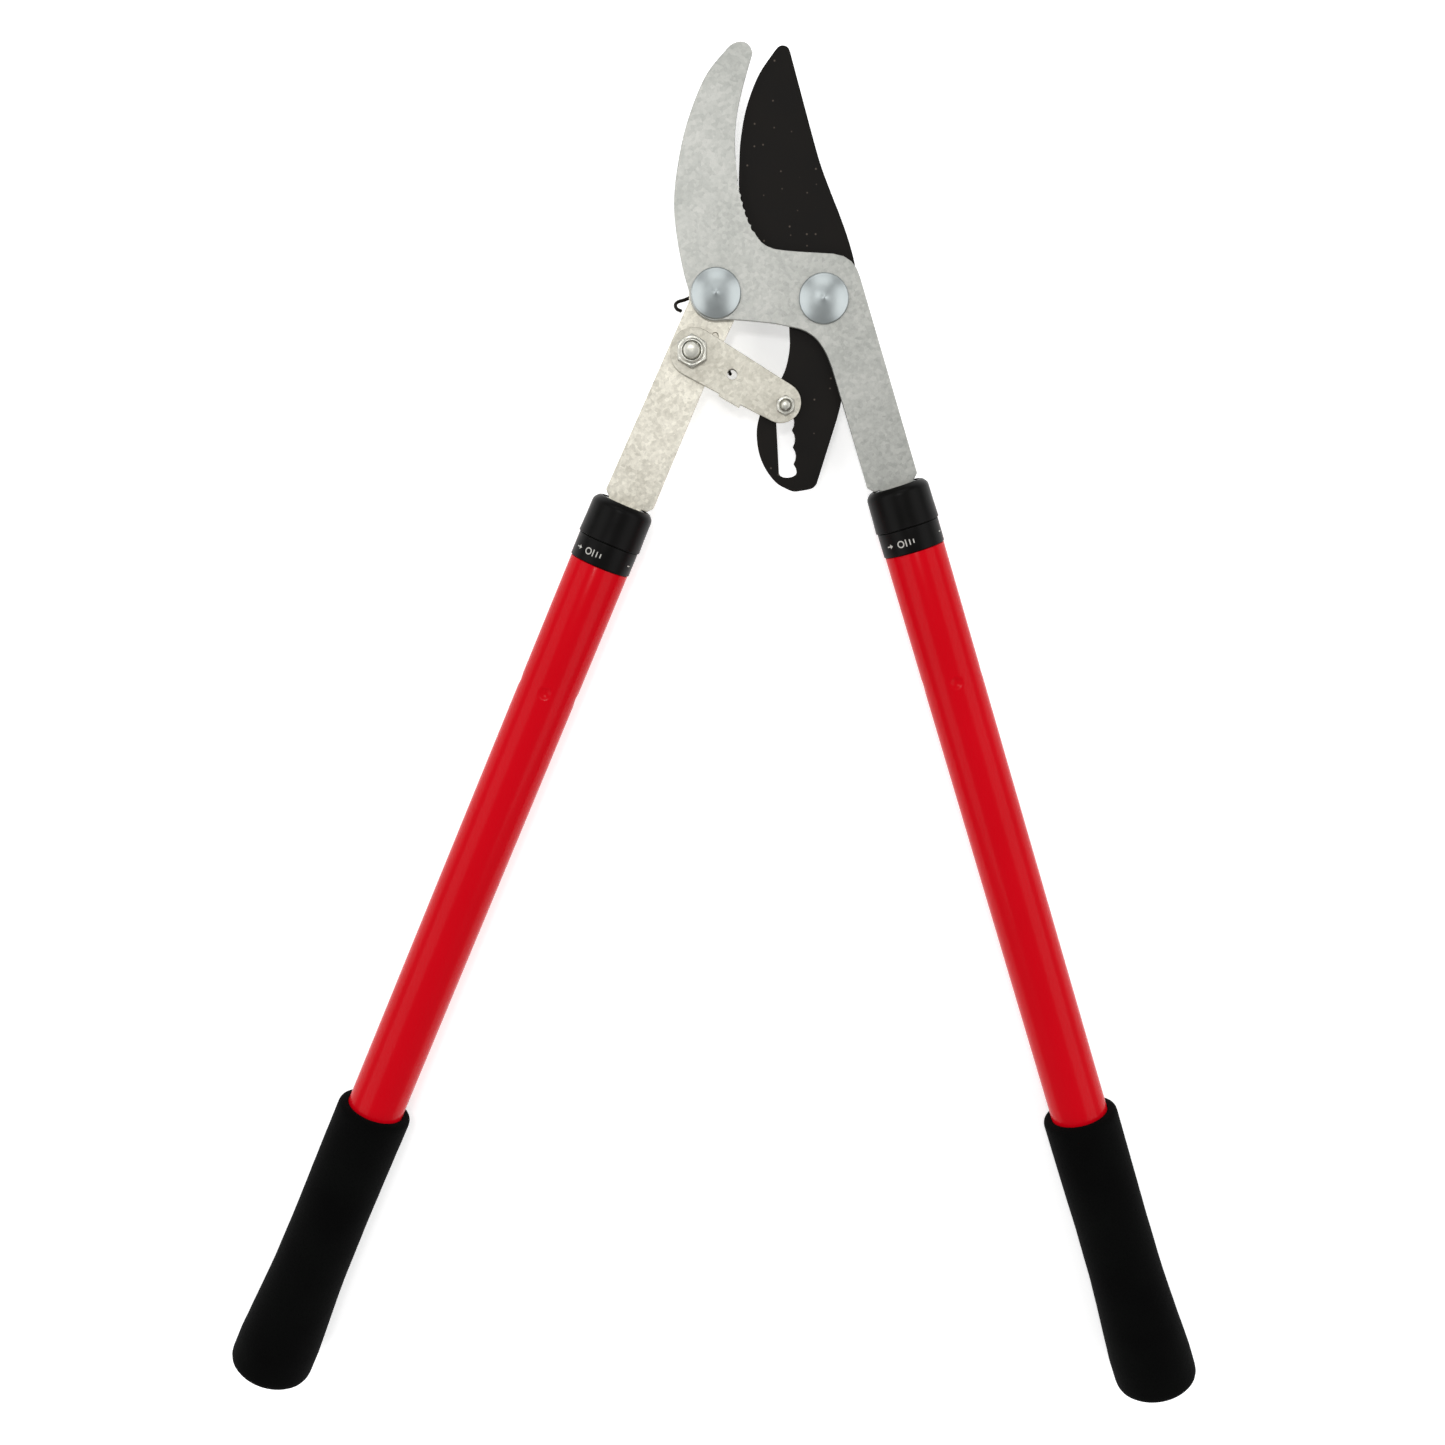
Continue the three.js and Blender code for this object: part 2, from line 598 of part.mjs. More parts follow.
// In one piece: the spigot that the collar turns on, the marked band, and the insert in the outer tube.
function lockSleeve() {
  const bore = sleeveBore / 2;
  const insert = outerTubeBore / 2 - slideClearance;
  const spigot = spigotDiameter / 2;
  const insertBottom = bandBottom - sleeveInsertLength;
  return turned([
    [bore, sleeveTop], [bore, insertBottom], [insert, insertBottom], [insert, bandBottom],
    [bandDiameter / 2, bandBottom], [bandDiameter / 2, bandTop], [spigot, bandTop], [spigot, sleeveTop],
    [bore, sleeveTop],
  ]);
}

// The split ring that the collar squeezes onto the inner tube.
function lockCollet() {
  const low = sleeveTop + faceGap;
  const high = -collarLip - faceGap;
  const bore = sleeveBore / 2;
  const solid = turned([
    [bore, low], [coneLow - faceGap, low], [coneHigh - faceGap, high], [bore, high], [bore, low],
  ]);
  const split = new THREE.BoxGeometry(colletSplit, collarLength, coneLow);
  split.translate(0, (low + high) / 2, -coneLow / 2 - bore / 2);
  return solid.subtract(solidOf(split));
}

function lockCollar() {
  const outer = coneLow + collarWall;
  const bore = sleeveBore / 2;
  return turned([
    [bore, -collarLip], [coneHigh, -collarLip], [coneLow, sleeveTop], [coneLow, -collarLength],
    [outer + 0.3, -collarLength], [outer - 0.1, -2.2], [outer - 0.6, -0.8], [outer - 1.8, 0], [bore, 0],
    [bore, -collarLip],
  ]);
}

function handleGrip() {
  const end = -handleLength;
  const bore = outerTubeDiameter / 2 + slideClearance;
  const radius = bore + gripWall;
  const flare = radius + gripFlare;
  const top = end + gripLength;
  return turned([
    [bore, top], [radius - 1.6, top], [radius, top - 1.8], [radius - 0.3, top - gripLength * 0.4],
    [radius, end + gripFlareLength], [flare - 0.8, end + gripFlareLength * 0.55],
    [flare, end + 17], [flare - 0.4, end + 7], [flare - 2.2, end + 2], [flare - 5.5, end], [0, end],
    [0, end + gripEndWall - faceGap], [bore, end + gripEndWall - faceGap], [bore, top],
  ].reverse());
}

function endPlug() {
  const top = tubeBottom + plugLength;
  const radius = outerTubeBore / 2 - slideClearance;
  return turned([[0, tubeBottom], [radius, tubeBottom], [radius, top - 2], [radius - 1.5, top], [0, top]]);
}

// ---- assembly ----
const zincPlate = { color: 0xc9c9c4, roughness: 0.42, metalness: 0.85 };
const warmPlate = { color: 0xdedbd0, roughness: 0.42, metalness: 0.85 };
const boltZinc = { color: 0xb9c6cc, roughness: 0.28, metalness: 0.95 };
const nutSteel = { color: 0xa9a9a4, roughness: 0.35, metalness: 0.9 };
const bladeCoat = { color: 0x262220, roughness: 0.5, metalness: 0.1 };
const redPaint = { color: 0xd20f1c, roughness: 0.22, metalness: 0.1 };
const blackPlastic = { color: 0x232121, roughness: 0.45, metalness: 0 };
const whitePlastic = { color: 0xd8d6cf, roughness: 0.5, metalness: 0 };
const foamBlack = { color: 0x0c0c0c, roughness: 0.95, metalness: 0 };
const blackWire = { color: 0x1a1816, roughness: 0.4, metalness: 0.6 };
const bareTube = { color: 0xb4b6b8, roughness: 0.3, metalness: 0.9 };

function named(name, solid, finish) {
  const mesh = new THREE.Mesh(geometryOf(solid), new THREE.MeshStandardMaterial(finish));
  mesh.name = name;
  return mesh;
}

const head = new THREE.Group();

const hookNutTop = hookWasherTop - washerThickness - faceGap;
const rearWasherTop = rearBase - faceGap;
const bladeNutTop = rearWasherTop - washerThickness - faceGap;
const hookBoltEnd = hookNutTop - largeNutHeight - threadShow;
const bladeBoltEnd = bladeNutTop - largeNutHeight - threadShow;
const linkNutBase = linkTop + faceGap;
const linkBoltEnd = linkNutBase + largeNutHeight + threadShow;
const pinEnd = linkNutBase + smallNutHeight + threadShow;

const rollerBore = ratchetPinDiameter + 2 * rollerBoreClearance;
const linkBolt = hexBolt(linkPivot, boltDiameter, largeNutAcross, largeHeadHeight, linkBoltEnd);
const ratchetPin = hexBolt(ratchetPoint, ratchetPinDiameter, smallNutAcross, smallHeadHeight, pinEnd);
const rollerBase = rearCheekTop + faceGap;
const roller = uprightRing(rollerDiameter, rollerBore, rollerBase, frontBase - faceGap, ratchetPoint);

const washerAt = (place, diameter, top) =>
  uprightRing(diameter, boltHole, top - washerThickness, top, place);
const largeNutAt = (place, base) => nut(place, largeNutAcross, boltHole, base, largeNutHeight);
const pinNut = nut(ratchetPoint, smallNutAcross, pinHole, linkNutBase, smallNutHeight);

head.add(
  named("hook_plate", hookPlate(), zincPlate),
  named("cutting_blade", cuttingBlade(), bladeCoat),
  named("left_arm", leftArm(), warmPlate),
  named("return_spring", returnSpring(), blackWire),
  named("hook_pivot_bolt", domedBolt(hookPivot, frontTop, hookBoltEnd), boltZinc),
  named("hook_pivot_washer", washerAt(hookPivot, washerDiameter, hookWasherTop), nutSteel),
  named("hook_pivot_nut", largeNutAt(hookPivot, hookNutTop - largeNutHeight), nutSteel),
  named("blade_pivot_bolt", domedBolt(bladePivot, frontTop, bladeBoltEnd), boltZinc),
  named("blade_pivot_washer", washerAt(bladePivot, washerDiameter, rearWasherTop), nutSteel),
  named("blade_pivot_nut", largeNutAt(bladePivot, bladeNutTop - largeNutHeight), nutSteel),
  named("link_pivot_bolt", linkBolt, nutSteel),
  named("link_pivot_washer", washerAt(linkPivot, linkWasherDiameter, rearWasherTop), nutSteel),
  named("link_pivot_nut", largeNutAt(linkPivot, linkNutBase), nutSteel),
  named("ratchet_pin", ratchetPin, nutSteel),
  named("ratchet_pin_nut", pinNut, nutSteel),
  named("ratchet_roller", roller, bareTube),
);

const link = new THREE.Group();
link.position.set(linkPivot.x, linkPivot.y, 0);
link.rotation.z = linkAngle;
link.add(named("ratchet_link", ratchetLink(), warmPlate));
head.add(link);

const sides = [["right", rightMouth, rightLean, 1], ["left", leftMouth, leftLean, -1]];
for (const [side, mouth, lean, layer] of sides) {
  const handle = new THREE.Group();
  handle.position.set(mouth.x, mouth.y, 0);
  handle.rotation.z = lean;
  handle.add(
    named(`${side}_inner_tube`, innerTube(), bareTube),
    named(`${side}_tang_plug`, tangPlug(layer), whitePlastic),
    named(`${side}_upper_tang_pin`, tangPin(0), nutSteel),
    named(`${side}_lower_tang_pin`, tangPin(1), nutSteel),
    named(`${side}_guide_bush`, guideBush(), whitePlastic),
    named(`${side}_outer_tube`, outerTube(), redPaint),
    named(`${side}_lock_sleeve`, lockSleeve(), blackPlastic),
    named(`${side}_lock_collet`, lockCollet(), whitePlastic),
    named(`${side}_lock_collar`, lockCollar(), blackPlastic),
    named(`${side}_grip`, handleGrip(), foamBlack),
    named(`${side}_end_plug`, endPlug(), blackPlastic),
    named(`${side}_end_stop`, endStop(), whitePlastic),
  );
  head.add(handle);
}

// The origin goes under the middle of the part, on the surface that it lies on.
const loppers = new THREE.Group();
loppers.add(head);
loppers.updateMatrixWorld(true);
const box = new THREE.Box3().setFromObject(loppers, true);
head.position.set(-(box.min.x + box.max.x) / 2, -(box.min.y + box.max.y) / 2, -box.min.z);

export default loppers;
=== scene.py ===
import json
import math

import bpy
from mathutils import Matrix, Vector, noise


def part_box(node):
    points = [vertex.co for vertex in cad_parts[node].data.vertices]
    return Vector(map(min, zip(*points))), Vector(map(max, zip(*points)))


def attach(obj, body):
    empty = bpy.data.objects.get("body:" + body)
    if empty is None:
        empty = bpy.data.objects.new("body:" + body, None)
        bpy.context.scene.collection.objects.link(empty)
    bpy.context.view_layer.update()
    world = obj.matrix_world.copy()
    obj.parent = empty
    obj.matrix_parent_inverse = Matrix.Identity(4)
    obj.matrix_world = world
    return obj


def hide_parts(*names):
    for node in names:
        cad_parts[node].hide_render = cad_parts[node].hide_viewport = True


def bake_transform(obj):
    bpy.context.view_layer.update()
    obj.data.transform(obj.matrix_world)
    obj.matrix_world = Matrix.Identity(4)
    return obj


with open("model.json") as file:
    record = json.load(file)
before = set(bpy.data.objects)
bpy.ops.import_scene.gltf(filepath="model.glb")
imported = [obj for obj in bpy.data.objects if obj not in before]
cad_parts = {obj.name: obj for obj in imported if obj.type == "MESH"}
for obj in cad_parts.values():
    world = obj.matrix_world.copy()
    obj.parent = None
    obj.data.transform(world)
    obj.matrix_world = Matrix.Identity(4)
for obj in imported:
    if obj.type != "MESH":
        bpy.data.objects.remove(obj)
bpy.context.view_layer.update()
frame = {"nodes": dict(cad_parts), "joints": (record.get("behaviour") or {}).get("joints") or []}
print("frame loaded")

mm = 0.001
joints = {joint["name"]: joint for joint in frame["joints"]}
nodes = frame["nodes"]
hookPivot = Vector(joints["handle_pivot"]["pos_m"])
bladePivot = Vector(joints["blade_pivot"]["pos_m"])
linkPivot = Vector(joints["link_pivot"]["pos_m"])
up = Vector((0, 0, 1))


def middleOf(node):
    low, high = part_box(node)
    return (low + high) / 2


pinMiddle = middleOf("ratchet_pin")
ratchetPoint = Vector((pinMiddle.x, pinMiddle.y, bladePivot.z))
mouths = {side: Vector(joints[side + "_lock_twist"]["pos_m"]) for side in ("right", "left")}
downTube = {side: Vector(joints[side + "_lock_twist"]["axis"]).normalized() for side in ("right", "left")}


# Camera, floor and light. The camera's lengths are in mm and the light's in metres.
camera = {"lens": 37.37, "sensor": 36.0, "tilt": 10.6, "distance": 712.5, "aim": (-45.4, -194.25)}
paperFloor = {"size": 12, "drop": 0.0002, "colour": "#fbfbfb", "grain": 900.0, "bump": (0.05, 0.0001)}
light = {
    "world": "#ffffff", "worldStrength": 0.48,
    "table": "#ffffff", "tableGlow": 0.42,
    "boxSize": (1.5, 3.2), "boxHeight": 1.5, "boxAside": 1.75, "boxWatts": 24,
    "topSize": (1.4, 0.9), "topPlace": (0, 1.7, 1.3), "topWatts": 7,
    "keySize": 0.16, "keyPlace": (-0.08, 0.42, 1.2), "keyWatts": 2.4,
}


def linear(code):
    # an sRGB hex value turned to the linear colour that sockets take
    parts = [int(code[i:i + 2], 16) / 255 for i in (1, 3, 5)]
    return tuple(c / 12.92 if c <= 0.04045 else ((c + 0.055) / 1.055) ** 2.4 for c in parts) + (1.0,)


def addNode(tree, kind, settings=None, links=None):
    # one node, its settings by socket or attribute name, and what feeds it
    node = tree.nodes.new(kind)
    for name, value in (settings or {}).items():
        if isinstance(name, int) or name in node.inputs:
            node.inputs[name].default_value = value
        else:
            setattr(node, name, value)
    for name, source in (links or {}).items():
        tree.links.new(source, node.inputs[name])
    return node


def newMaterial(name):
    material = bpy.data.materials.new(name)
    material.use_nodes = True
    tree = material.node_tree
    return material, tree, tree.nodes["Principled BSDF"]


def addCamera():
    tilt = math.radians(camera["tilt"])
    aim = bladePivot + Vector((*camera["aim"], 0)) * mm
    away = Vector((0, math.sin(tilt), math.cos(tilt))) * camera["distance"] * mm
    bpy.ops.object.camera_add(location=aim + away, rotation=(-tilt, 0, 0))
    eye = bpy.context.object
    eye.data.lens = camera["lens"]
    eye.data.sensor_width = camera["sensor"]
    eye.data.clip_start = 0.01
    bpy.context.scene.camera = eye


def addFloor():
    # seamless studio paper, even and without shine, that glows as a light table does, so shadows stay faint
    bpy.ops.mesh.primitive_plane_add(size=paperFloor["size"], location=(0, 0, -paperFloor["drop"]))
    floor = bpy.context.object
    floor.name = "floor"
    paper, tree, shader = newMaterial("matt white paper")
    coords = addNode(tree, "ShaderNodeTexCoord").outputs["Object"]
    texture = {"Scale": paperFloor["grain"], "Detail": 3.0}
    grain = addNode(tree, "ShaderNodeTexNoise", texture, {"Vector": coords}).outputs[0]
    strength, deep = paperFloor["bump"]
    bump = addNode(tree, "ShaderNodeBump", {"Strength": strength, "Distance": deep}, {"Height": grain})
    tree.links.new(bump.outputs[0], shader.inputs["Normal"])
    shader.inputs["Base Color"].default_value = linear(paperFloor["colour"])
    shader.inputs["Roughness"].default_value = 1.0
    shader.inputs["Specular IOR Level"].default_value = 0.0
    shader.inputs["Emission Color"].default_value = linear(light["table"])
    shader.inputs["Emission Strength"].default_value = light["tableGlow"]
    floor.data.materials.append(paper)


def addWorld():
    world = bpy.data.worlds.new("white room")
    world.use_nodes = True
    sky = world.node_tree.nodes["Background"]
    sky.inputs["Color"].default_value = linear(light["world"])
    sky.inputs["Strength"].default_value = light["worldStrength"]
    bpy.context.scene.world = world


def addAreaLight(name, place, watts, wide, long=None, turn=None):
    # a box with a width and length, or a disk with a width alone; it faces the object unless a turn is given
    bpy.ops.object.light_add(type="AREA", location=place)
    lamp = bpy.context.object
    lamp.name = name
    lamp.data.shape = "RECTANGLE" if long else "DISK"
    lamp.data.size = wide
    if long:
        lamp.data.size_y = long
    lamp.data.energy = watts
    lamp.rotation_euler = turn or (-lamp.location).to_track_quat("-Z", "Y").to_euler()


def addLights():
    for aside in (-light["boxAside"], light["boxAside"]):      # two long soft boxes, a gap above
        spot = (aside, 0, light["boxHeight"])
        lean = math.atan2(aside, light["boxHeight"])
        addAreaLight("soft box", spot, light["boxWatts"], *light["boxSize"], turn=(0, lean, 0))
    addAreaLight("top box", light["topPlace"], light["topWatts"], *light["topSize"])
    addAreaLight("key light", light["keyPlace"], light["keyWatts"], light["keySize"])
    bpy.context.scene.view_settings.view_transform = "Standard"


addCamera()
addFloor()
addWorld()
addLights()
print("stage set")


# Materials. Colours are sRGB hex codes, a bump is its strength and its depth in metres, and a texture's
# scale is about 1000 over its grain in mm.
galvanised = {
    "hook sheet": {"pale": "#b2b2ad", "dark": "#949691"},
    "arm sheet": {"pale": "#e0dccf", "dark": "#b0aca0"},
    "link sheet": {"pale": "#cbc8bc", "dark": "#a29e92"},
}
sheetZinc = {
    "speck": "#8d8f8c", "speckShare": 0.55, "roughness": (0.36, 0.56), "metal": 0.72,
    "bump": (0.35, 0.00006),
}
headPlate = {"pale": "#b1b7b7", "dark": "#989fa0", "roughness": (0.3, 0.42), "bump": (0.12, 0.00003)}
bladeBlack = {
    "pale": "#171411", "dark": "#080706", "dust": "#5b524a", "dustShare": 0.7, "dustFrom": 0.72,
    "roughness": (0.42, 0.62), "shine": 0.1, "bump": (0.25, 0.00005),
}
bladeBrown = {"pale": "#57483a", "dark": "#241c17", "roughness": 0.5, "metal": 0.5, "bump": (0.3, 0.00008)}
tubeRed = {
    "pale": "#c30113", "dark": "#ba000e", "roughness": (0.16, 0.3), "shine": 0.06,
    "coat": 0.04, "coatRoughness": 0.05, "bump": (0.12, 0.00008),
}
# the near-black pit colour of the foam is painted shade inside the pores
foamBlack = {
    "pale": "#070807", "dark": "#030303", "shadedPit": "#010101", "roughness": 0.92, "shine": 0.04,
    "sheen": 0.01, "sheenRoughness": 0.5, "bump": (0.55, 0.00018),
}


def objectPlace(tree):
    return addNode(tree, "ShaderNodeTexCoord").outputs["Object"]


def noiseOf(tree, place, scale, detail, roughness=0.5):
    settings = {"Scale": scale, "Detail": detail, "Roughness": roughness}
    return addNode(tree, "ShaderNodeTexNoise", settings, {"Vector": place}).outputs[0]


def cellsOf(tree, place, scale):
    return addNode(tree, "ShaderNodeTexVoronoi", {"Scale": scale}, {"Vector": place})


def redOf(tree, colour):
    # a cell's own random value, from its random colour
    return addNode(tree, "ShaderNodeSeparateColor", None, {"Color": colour}).outputs[0]


def spread(tree, value, fromRange=(0.0, 1.0), toRange=(0.0, 1.0)):
    # a value clamped to one range and stretched to another
    ends = ("From Min", "From Max", "To Min", "To Max")
    settings = dict(zip(ends, (*fromRange, *toRange)))
    return addNode(tree, "ShaderNodeMapRange", settings, {"Value": value}).outputs[0]


def weighted(tree, value, weight, other):
    # value * weight + other
    settings = {"operation": "MULTIPLY_ADD", 1: weight}
    return addNode(tree, "ShaderNodeMath", settings, {0: value, 2: other}).outputs[0]


def mixed(tree, share, first, second):
    # from the first colour to the second, each a hex code or what feeds it
    mix = addNode(tree, "ShaderNodeMix", {"data_type": "RGBA"}, {0: share})
    for socket, colour in ((6, first), (7, second)):
        if isinstance(colour, str):
            mix.inputs[socket].default_value = linear(colour)
        else:
            tree.links.new(colour, mix.inputs[socket])
    return mix.outputs[2]


def feedShader(tree, shader, colour, roughness, height, bump, metal=0.0):
    # the colour, the roughness as a number or what feeds it, and the height that the bump is made from
    strength, deep = bump
    relief = addNode(tree, "ShaderNodeBump", {"Strength": strength, "Distance": deep}, {"Height": height})
    tree.links.new(colour, shader.inputs["Base Color"])
    tree.links.new(relief.outputs[0], shader.inputs["Normal"])
    if isinstance(roughness, float):
        shader.inputs["Roughness"].default_value = roughness
    else:
        tree.links.new(roughness, shader.inputs["Roughness"])
    shader.inputs["Metallic"].default_value = metal


def galvanisedSteel(name):
    # Electro-galvanised sheet steel, pressed: a pale satin metal with a fine cloudy spangle and small
    # darker specks, from the zinc crystals and from handling.
    look = galvanised[name]
    material, tree, shader = newMaterial("galvanised steel, " + name)
    place = objectPlace(tree)
    cloud = noiseOf(tree, place, 70.0, 2.0)
    crystal = redOf(tree, cellsOf(tree, place, 620.0).outputs["Color"])
    mottle = noiseOf(tree, place, 480.0, 6.0, 0.7)
    speck = noiseOf(tree, place, 1500.0, 2.0)
    spangle = weighted(tree, crystal, 0.35, mottle)
    share = spread(tree, weighted(tree, cloud, 0.6, spangle), (0.62, 1.3))
    dots = spread(tree, speck, (0.66, 0.74), (0.0, sheetZinc["speckShare"]))
    colour = mixed(tree, dots, mixed(tree, share, look["dark"], look["pale"]), sheetZinc["speck"])
    gloss = spread(tree, mottle, toRange=sheetZinc["roughness"])
    feedShader(tree, shader, colour, gloss, spangle, sheetZinc["bump"], sheetZinc["metal"])
    return material


def brightZinc():
    # Blue-passivated bright zinc plate on a cold-headed bolt: smooth, bluish and lightly hazed.
    material, tree, shader = newMaterial("bright zinc plate")
    place = objectPlace(tree)
    haze = noiseOf(tree, place, 160.0, 3.0)
    fine = noiseOf(tree, place, 1800.0, 2.0)
    colour = mixed(tree, haze, headPlate["dark"], headPlate["pale"])
    gloss = spread(tree, haze, toRange=headPlate["roughness"])
    feedShader(tree, shader, colour, gloss, fine, headPlate["bump"], 1.0)
    return material


def nutSteel(name, pale, dark, paleRoughness, darkRoughness):
    # Zinc-plated turned and rolled steel: greyer than the heads, with turning marks and dull patches.
    material, tree, shader = newMaterial(name)
    place = objectPlace(tree)
    patch = noiseOf(tree, place, 420.0, 4.0)
    fine = noiseOf(tree, place, 2600.0, 2.0)
    share = spread(tree, patch, (0.3, 0.7))
    gloss = spread(tree, share, toRange=(darkRoughness, paleRoughness))
    feedShader(tree, shader, mixed(tree, share, dark, pale), gloss, fine, (0.2, 0.00004), 1.0)
    return material


def bladeCoat():
    # Non-stick fluoropolymer coat baked on carbon steel: near black with a brown cast, satin, with a fine
    # orange peel and dust specks, one cell in 4 mm of which some are kept.
    material, tree, shader = newMaterial("non-stick blade coat")
    place = objectPlace(tree)
    cloud = noiseOf(tree, place, 55.0, 4.0)
    peel = noiseOf(tree, place, 1100.0, 2.0)
    dust = cellsOf(tree, place, 260.0)
    chosen = addNode(tree, "ShaderNodeMath", {"operation": "GREATER_THAN", 1: bladeBlack["dustFrom"]},
                     {0: redOf(tree, dust.outputs["Color"])}).outputs[0]
    dot = spread(tree, dust.outputs["Distance"], (0.07, 0.14), (bladeBlack["dustShare"], 0.0))
    dots = addNode(tree, "ShaderNodeMath", {"operation": "MULTIPLY"}, {0: dot, 1: chosen}).outputs[0]
    colour = mixed(tree, dots, mixed(tree, cloud, bladeBlack["dark"], bladeBlack["pale"]), bladeBlack["dust"])
    gloss = spread(tree, cloud, toRange=bladeBlack["roughness"])
    feedShader(tree, shader, colour, gloss, peel, bladeBlack["bump"])
    shader.inputs["Specular IOR Level"].default_value = bladeBlack["shine"]
    return material


def bladeWall():
    # The blade's pierced walls, where the coat is thin over heat-browned steel.
    material, tree, shader = newMaterial("heat-browned steel")
    patch = noiseOf(tree, objectPlace(tree), 380.0, 5.0)
    share = spread(tree, patch, (0.35, 0.68))
    colour = mixed(tree, share, bladeBrown["dark"], bladeBrown["pale"])
    feedShader(tree, shader, colour, bladeBrown["roughness"], patch, bladeBrown["bump"], bladeBrown["metal"])
    return material


def redEnamel():
    # Red stoving enamel on steel tube: deep, even and glossy, with a slight orange peel under the shine.
    material, tree, shader = newMaterial("red stoving enamel")
    place = objectPlace(tree)
    cloud = noiseOf(tree, place, 26.0, 2.0)
    peel = noiseOf(tree, place, 420.0, 1.0)
    dust = noiseOf(tree, place, 2200.0, 1.0)
    gloss = spread(tree, dust, toRange=tubeRed["roughness"])
    colour = mixed(tree, cloud, tubeRed["dark"], tubeRed["pale"])
    feedShader(tree, shader, colour, gloss, peel, tubeRed["bump"])
    shader.inputs["Specular IOR Level"].default_value = tubeRed["shine"]
    shader.inputs["Coat Weight"].default_value = tubeRed["coat"]
    shader.inputs["Coat Roughness"].default_value = tubeRed["coatRoughness"]
    return material


def mouldedPlastic(name, pale, dark, roughness, shine):
    # Injection-moulded plastic from a lightly spark-eroded mould: satin, with a fine even grain.
    material, tree, shader = newMaterial(name)
    place = objectPlace(tree)
    grain = noiseOf(tree, place, 2200.0, 2.0)
    flow = noiseOf(tree, place, 120.0, 3.0)
    gloss = spread(tree, flow, toRange=(roughness - 0.08, roughness + 0.1))
    feedShader(tree, shader, mixed(tree, flow, dark, pale), gloss, grain, (0.22, 0.00005))
    shader.inputs["Specular IOR Level"].default_value = shine
    return material


def gripFoam():
    # Extruded nitrile foam sleeve: dead matt black, with open pores drawn coarse and a faint bloom; the pores
    # are darkened with painted shade.
    material, tree, shader = newMaterial("nitrile foam")
    place = objectPlace(tree)
    pore = cellsOf(tree, place, 1050.0).outputs["Distance"]
    skin = noiseOf(tree, place, 230.0, 5.0)
    bloom = noiseOf(tree, place, 28.0, 2.0)
    surface = mixed(tree, spread(tree, bloom, (0.35, 0.8)), foamBlack["dark"], foamBlack["pale"])
    # where the pores are: the pits of the bump, and the painted shade that darkens them
    shadedPit = spread(tree, pore, (0.0, 0.45))
    height = weighted(tree, shadedPit, 0.5, skin)
    # painted shade: the hollows of the pores are coloured near black
    colour = mixed(tree, shadedPit, foamBlack["shadedPit"], surface)
    feedShader(tree, shader, colour, foamBlack["roughness"], height, foamBlack["bump"])
    shader.inputs["Specular IOR Level"].default_value = foamBlack["shine"]
    shader.inputs["Sheen Weight"].default_value = foamBlack["sheen"]
    shader.inputs["Sheen Roughness"].default_value = foamBlack["sheenRoughness"]
    return material


hookSheet = galvanisedSteel("hook sheet")
armSheet = galvanisedSteel("arm sheet")
linkSheet = galvanisedSteel("link sheet")
headZinc = brightZinc()
plainNut = nutSteel("zinc-plated nut steel", "#d2d1c8", "#a9a89f", 0.3, 0.46)
springWire = nutSteel("black oxide spring wire", "#2a2622", "#161412", 0.35, 0.5)
tubeSteel = nutSteel("bright drawn steel tube", "#b9bbbd", "#b0b2b4", 0.26, 0.31)
coatedBlade = bladeCoat()
brownSteel = bladeWall()
tubeEnamel = redEnamel()
collarPlastic = mouldedPlastic("black polypropylene", "#0a0909", "#050504", 0.34, 0.08)
bushPlastic = mouldedPlastic("natural nylon", "#dedbd0", "#cfcbbd", 0.45, 0.4)
printInk = mouldedPlastic("white pad-printing ink", "#c4c2bc", "#a3a19b", 0.55, 0.3)
foam = gripFoam()
print("materials made")


# Modelling helpers.
mergeDistance = 0.000002
flatAngle = 0.5                                                # degrees under which two CAD faces are one


def deselectAll():
    bpy.ops.object.select_all(action="DESELECT")


def makeActive(piece):
    deselectAll()
    piece.select_set(True)
    bpy.context.view_layer.objects.active = piece


def inEditMode(piece, mode="VERT"):
    makeActive(piece)
    bpy.ops.object.mode_set(mode="EDIT")
    bpy.ops.mesh.select_mode(type=mode)
    bpy.ops.mesh.select_all(action="SELECT")


def settle(piece):
    # the place goes into the mesh, so that the object stands unturned and unscaled at the origin
    makeActive(piece)
    bpy.ops.object.transform_apply(location=True, rotation=True, scale=True)


def smoothUnder(piece, degrees):
    makeActive(piece)
    bpy.ops.object.shade_smooth_by_angle(angle=math.radians(degrees))


def applyModifiers(piece):
    makeActive(piece)
    for name in [modifier.name for modifier in piece.modifiers]:
        bpy.ops.object.modifier_apply(modifier=name)


def softenEdges(piece, width, degrees):
    bevel = piece.modifiers.new("soft edges", "BEVEL")
    bevel.width = width * mm
    bevel.segments = 2
    bevel.limit_method = "ANGLE"
    bevel.angle_limit = math.radians(degrees)
    bevel.use_clamp_overlap = False
    applyModifiers(piece)


def copyOfNode(node, name):
    # the CAD solid as one merged mesh, with its flat faces whole again
    piece = bpy.data.objects.new(name, nodes[node].data.copy())
    bpy.context.scene.collection.objects.link(piece)
    piece.data.materials.clear()
    inEditMode(piece)
    bpy.ops.mesh.remove_doubles(threshold=mergeDistance)
    bpy.ops.mesh.dissolve_limited(angle_limit=math.radians(flatAngle))
    bpy.ops.object.mode_set(mode="OBJECT")
    return piece


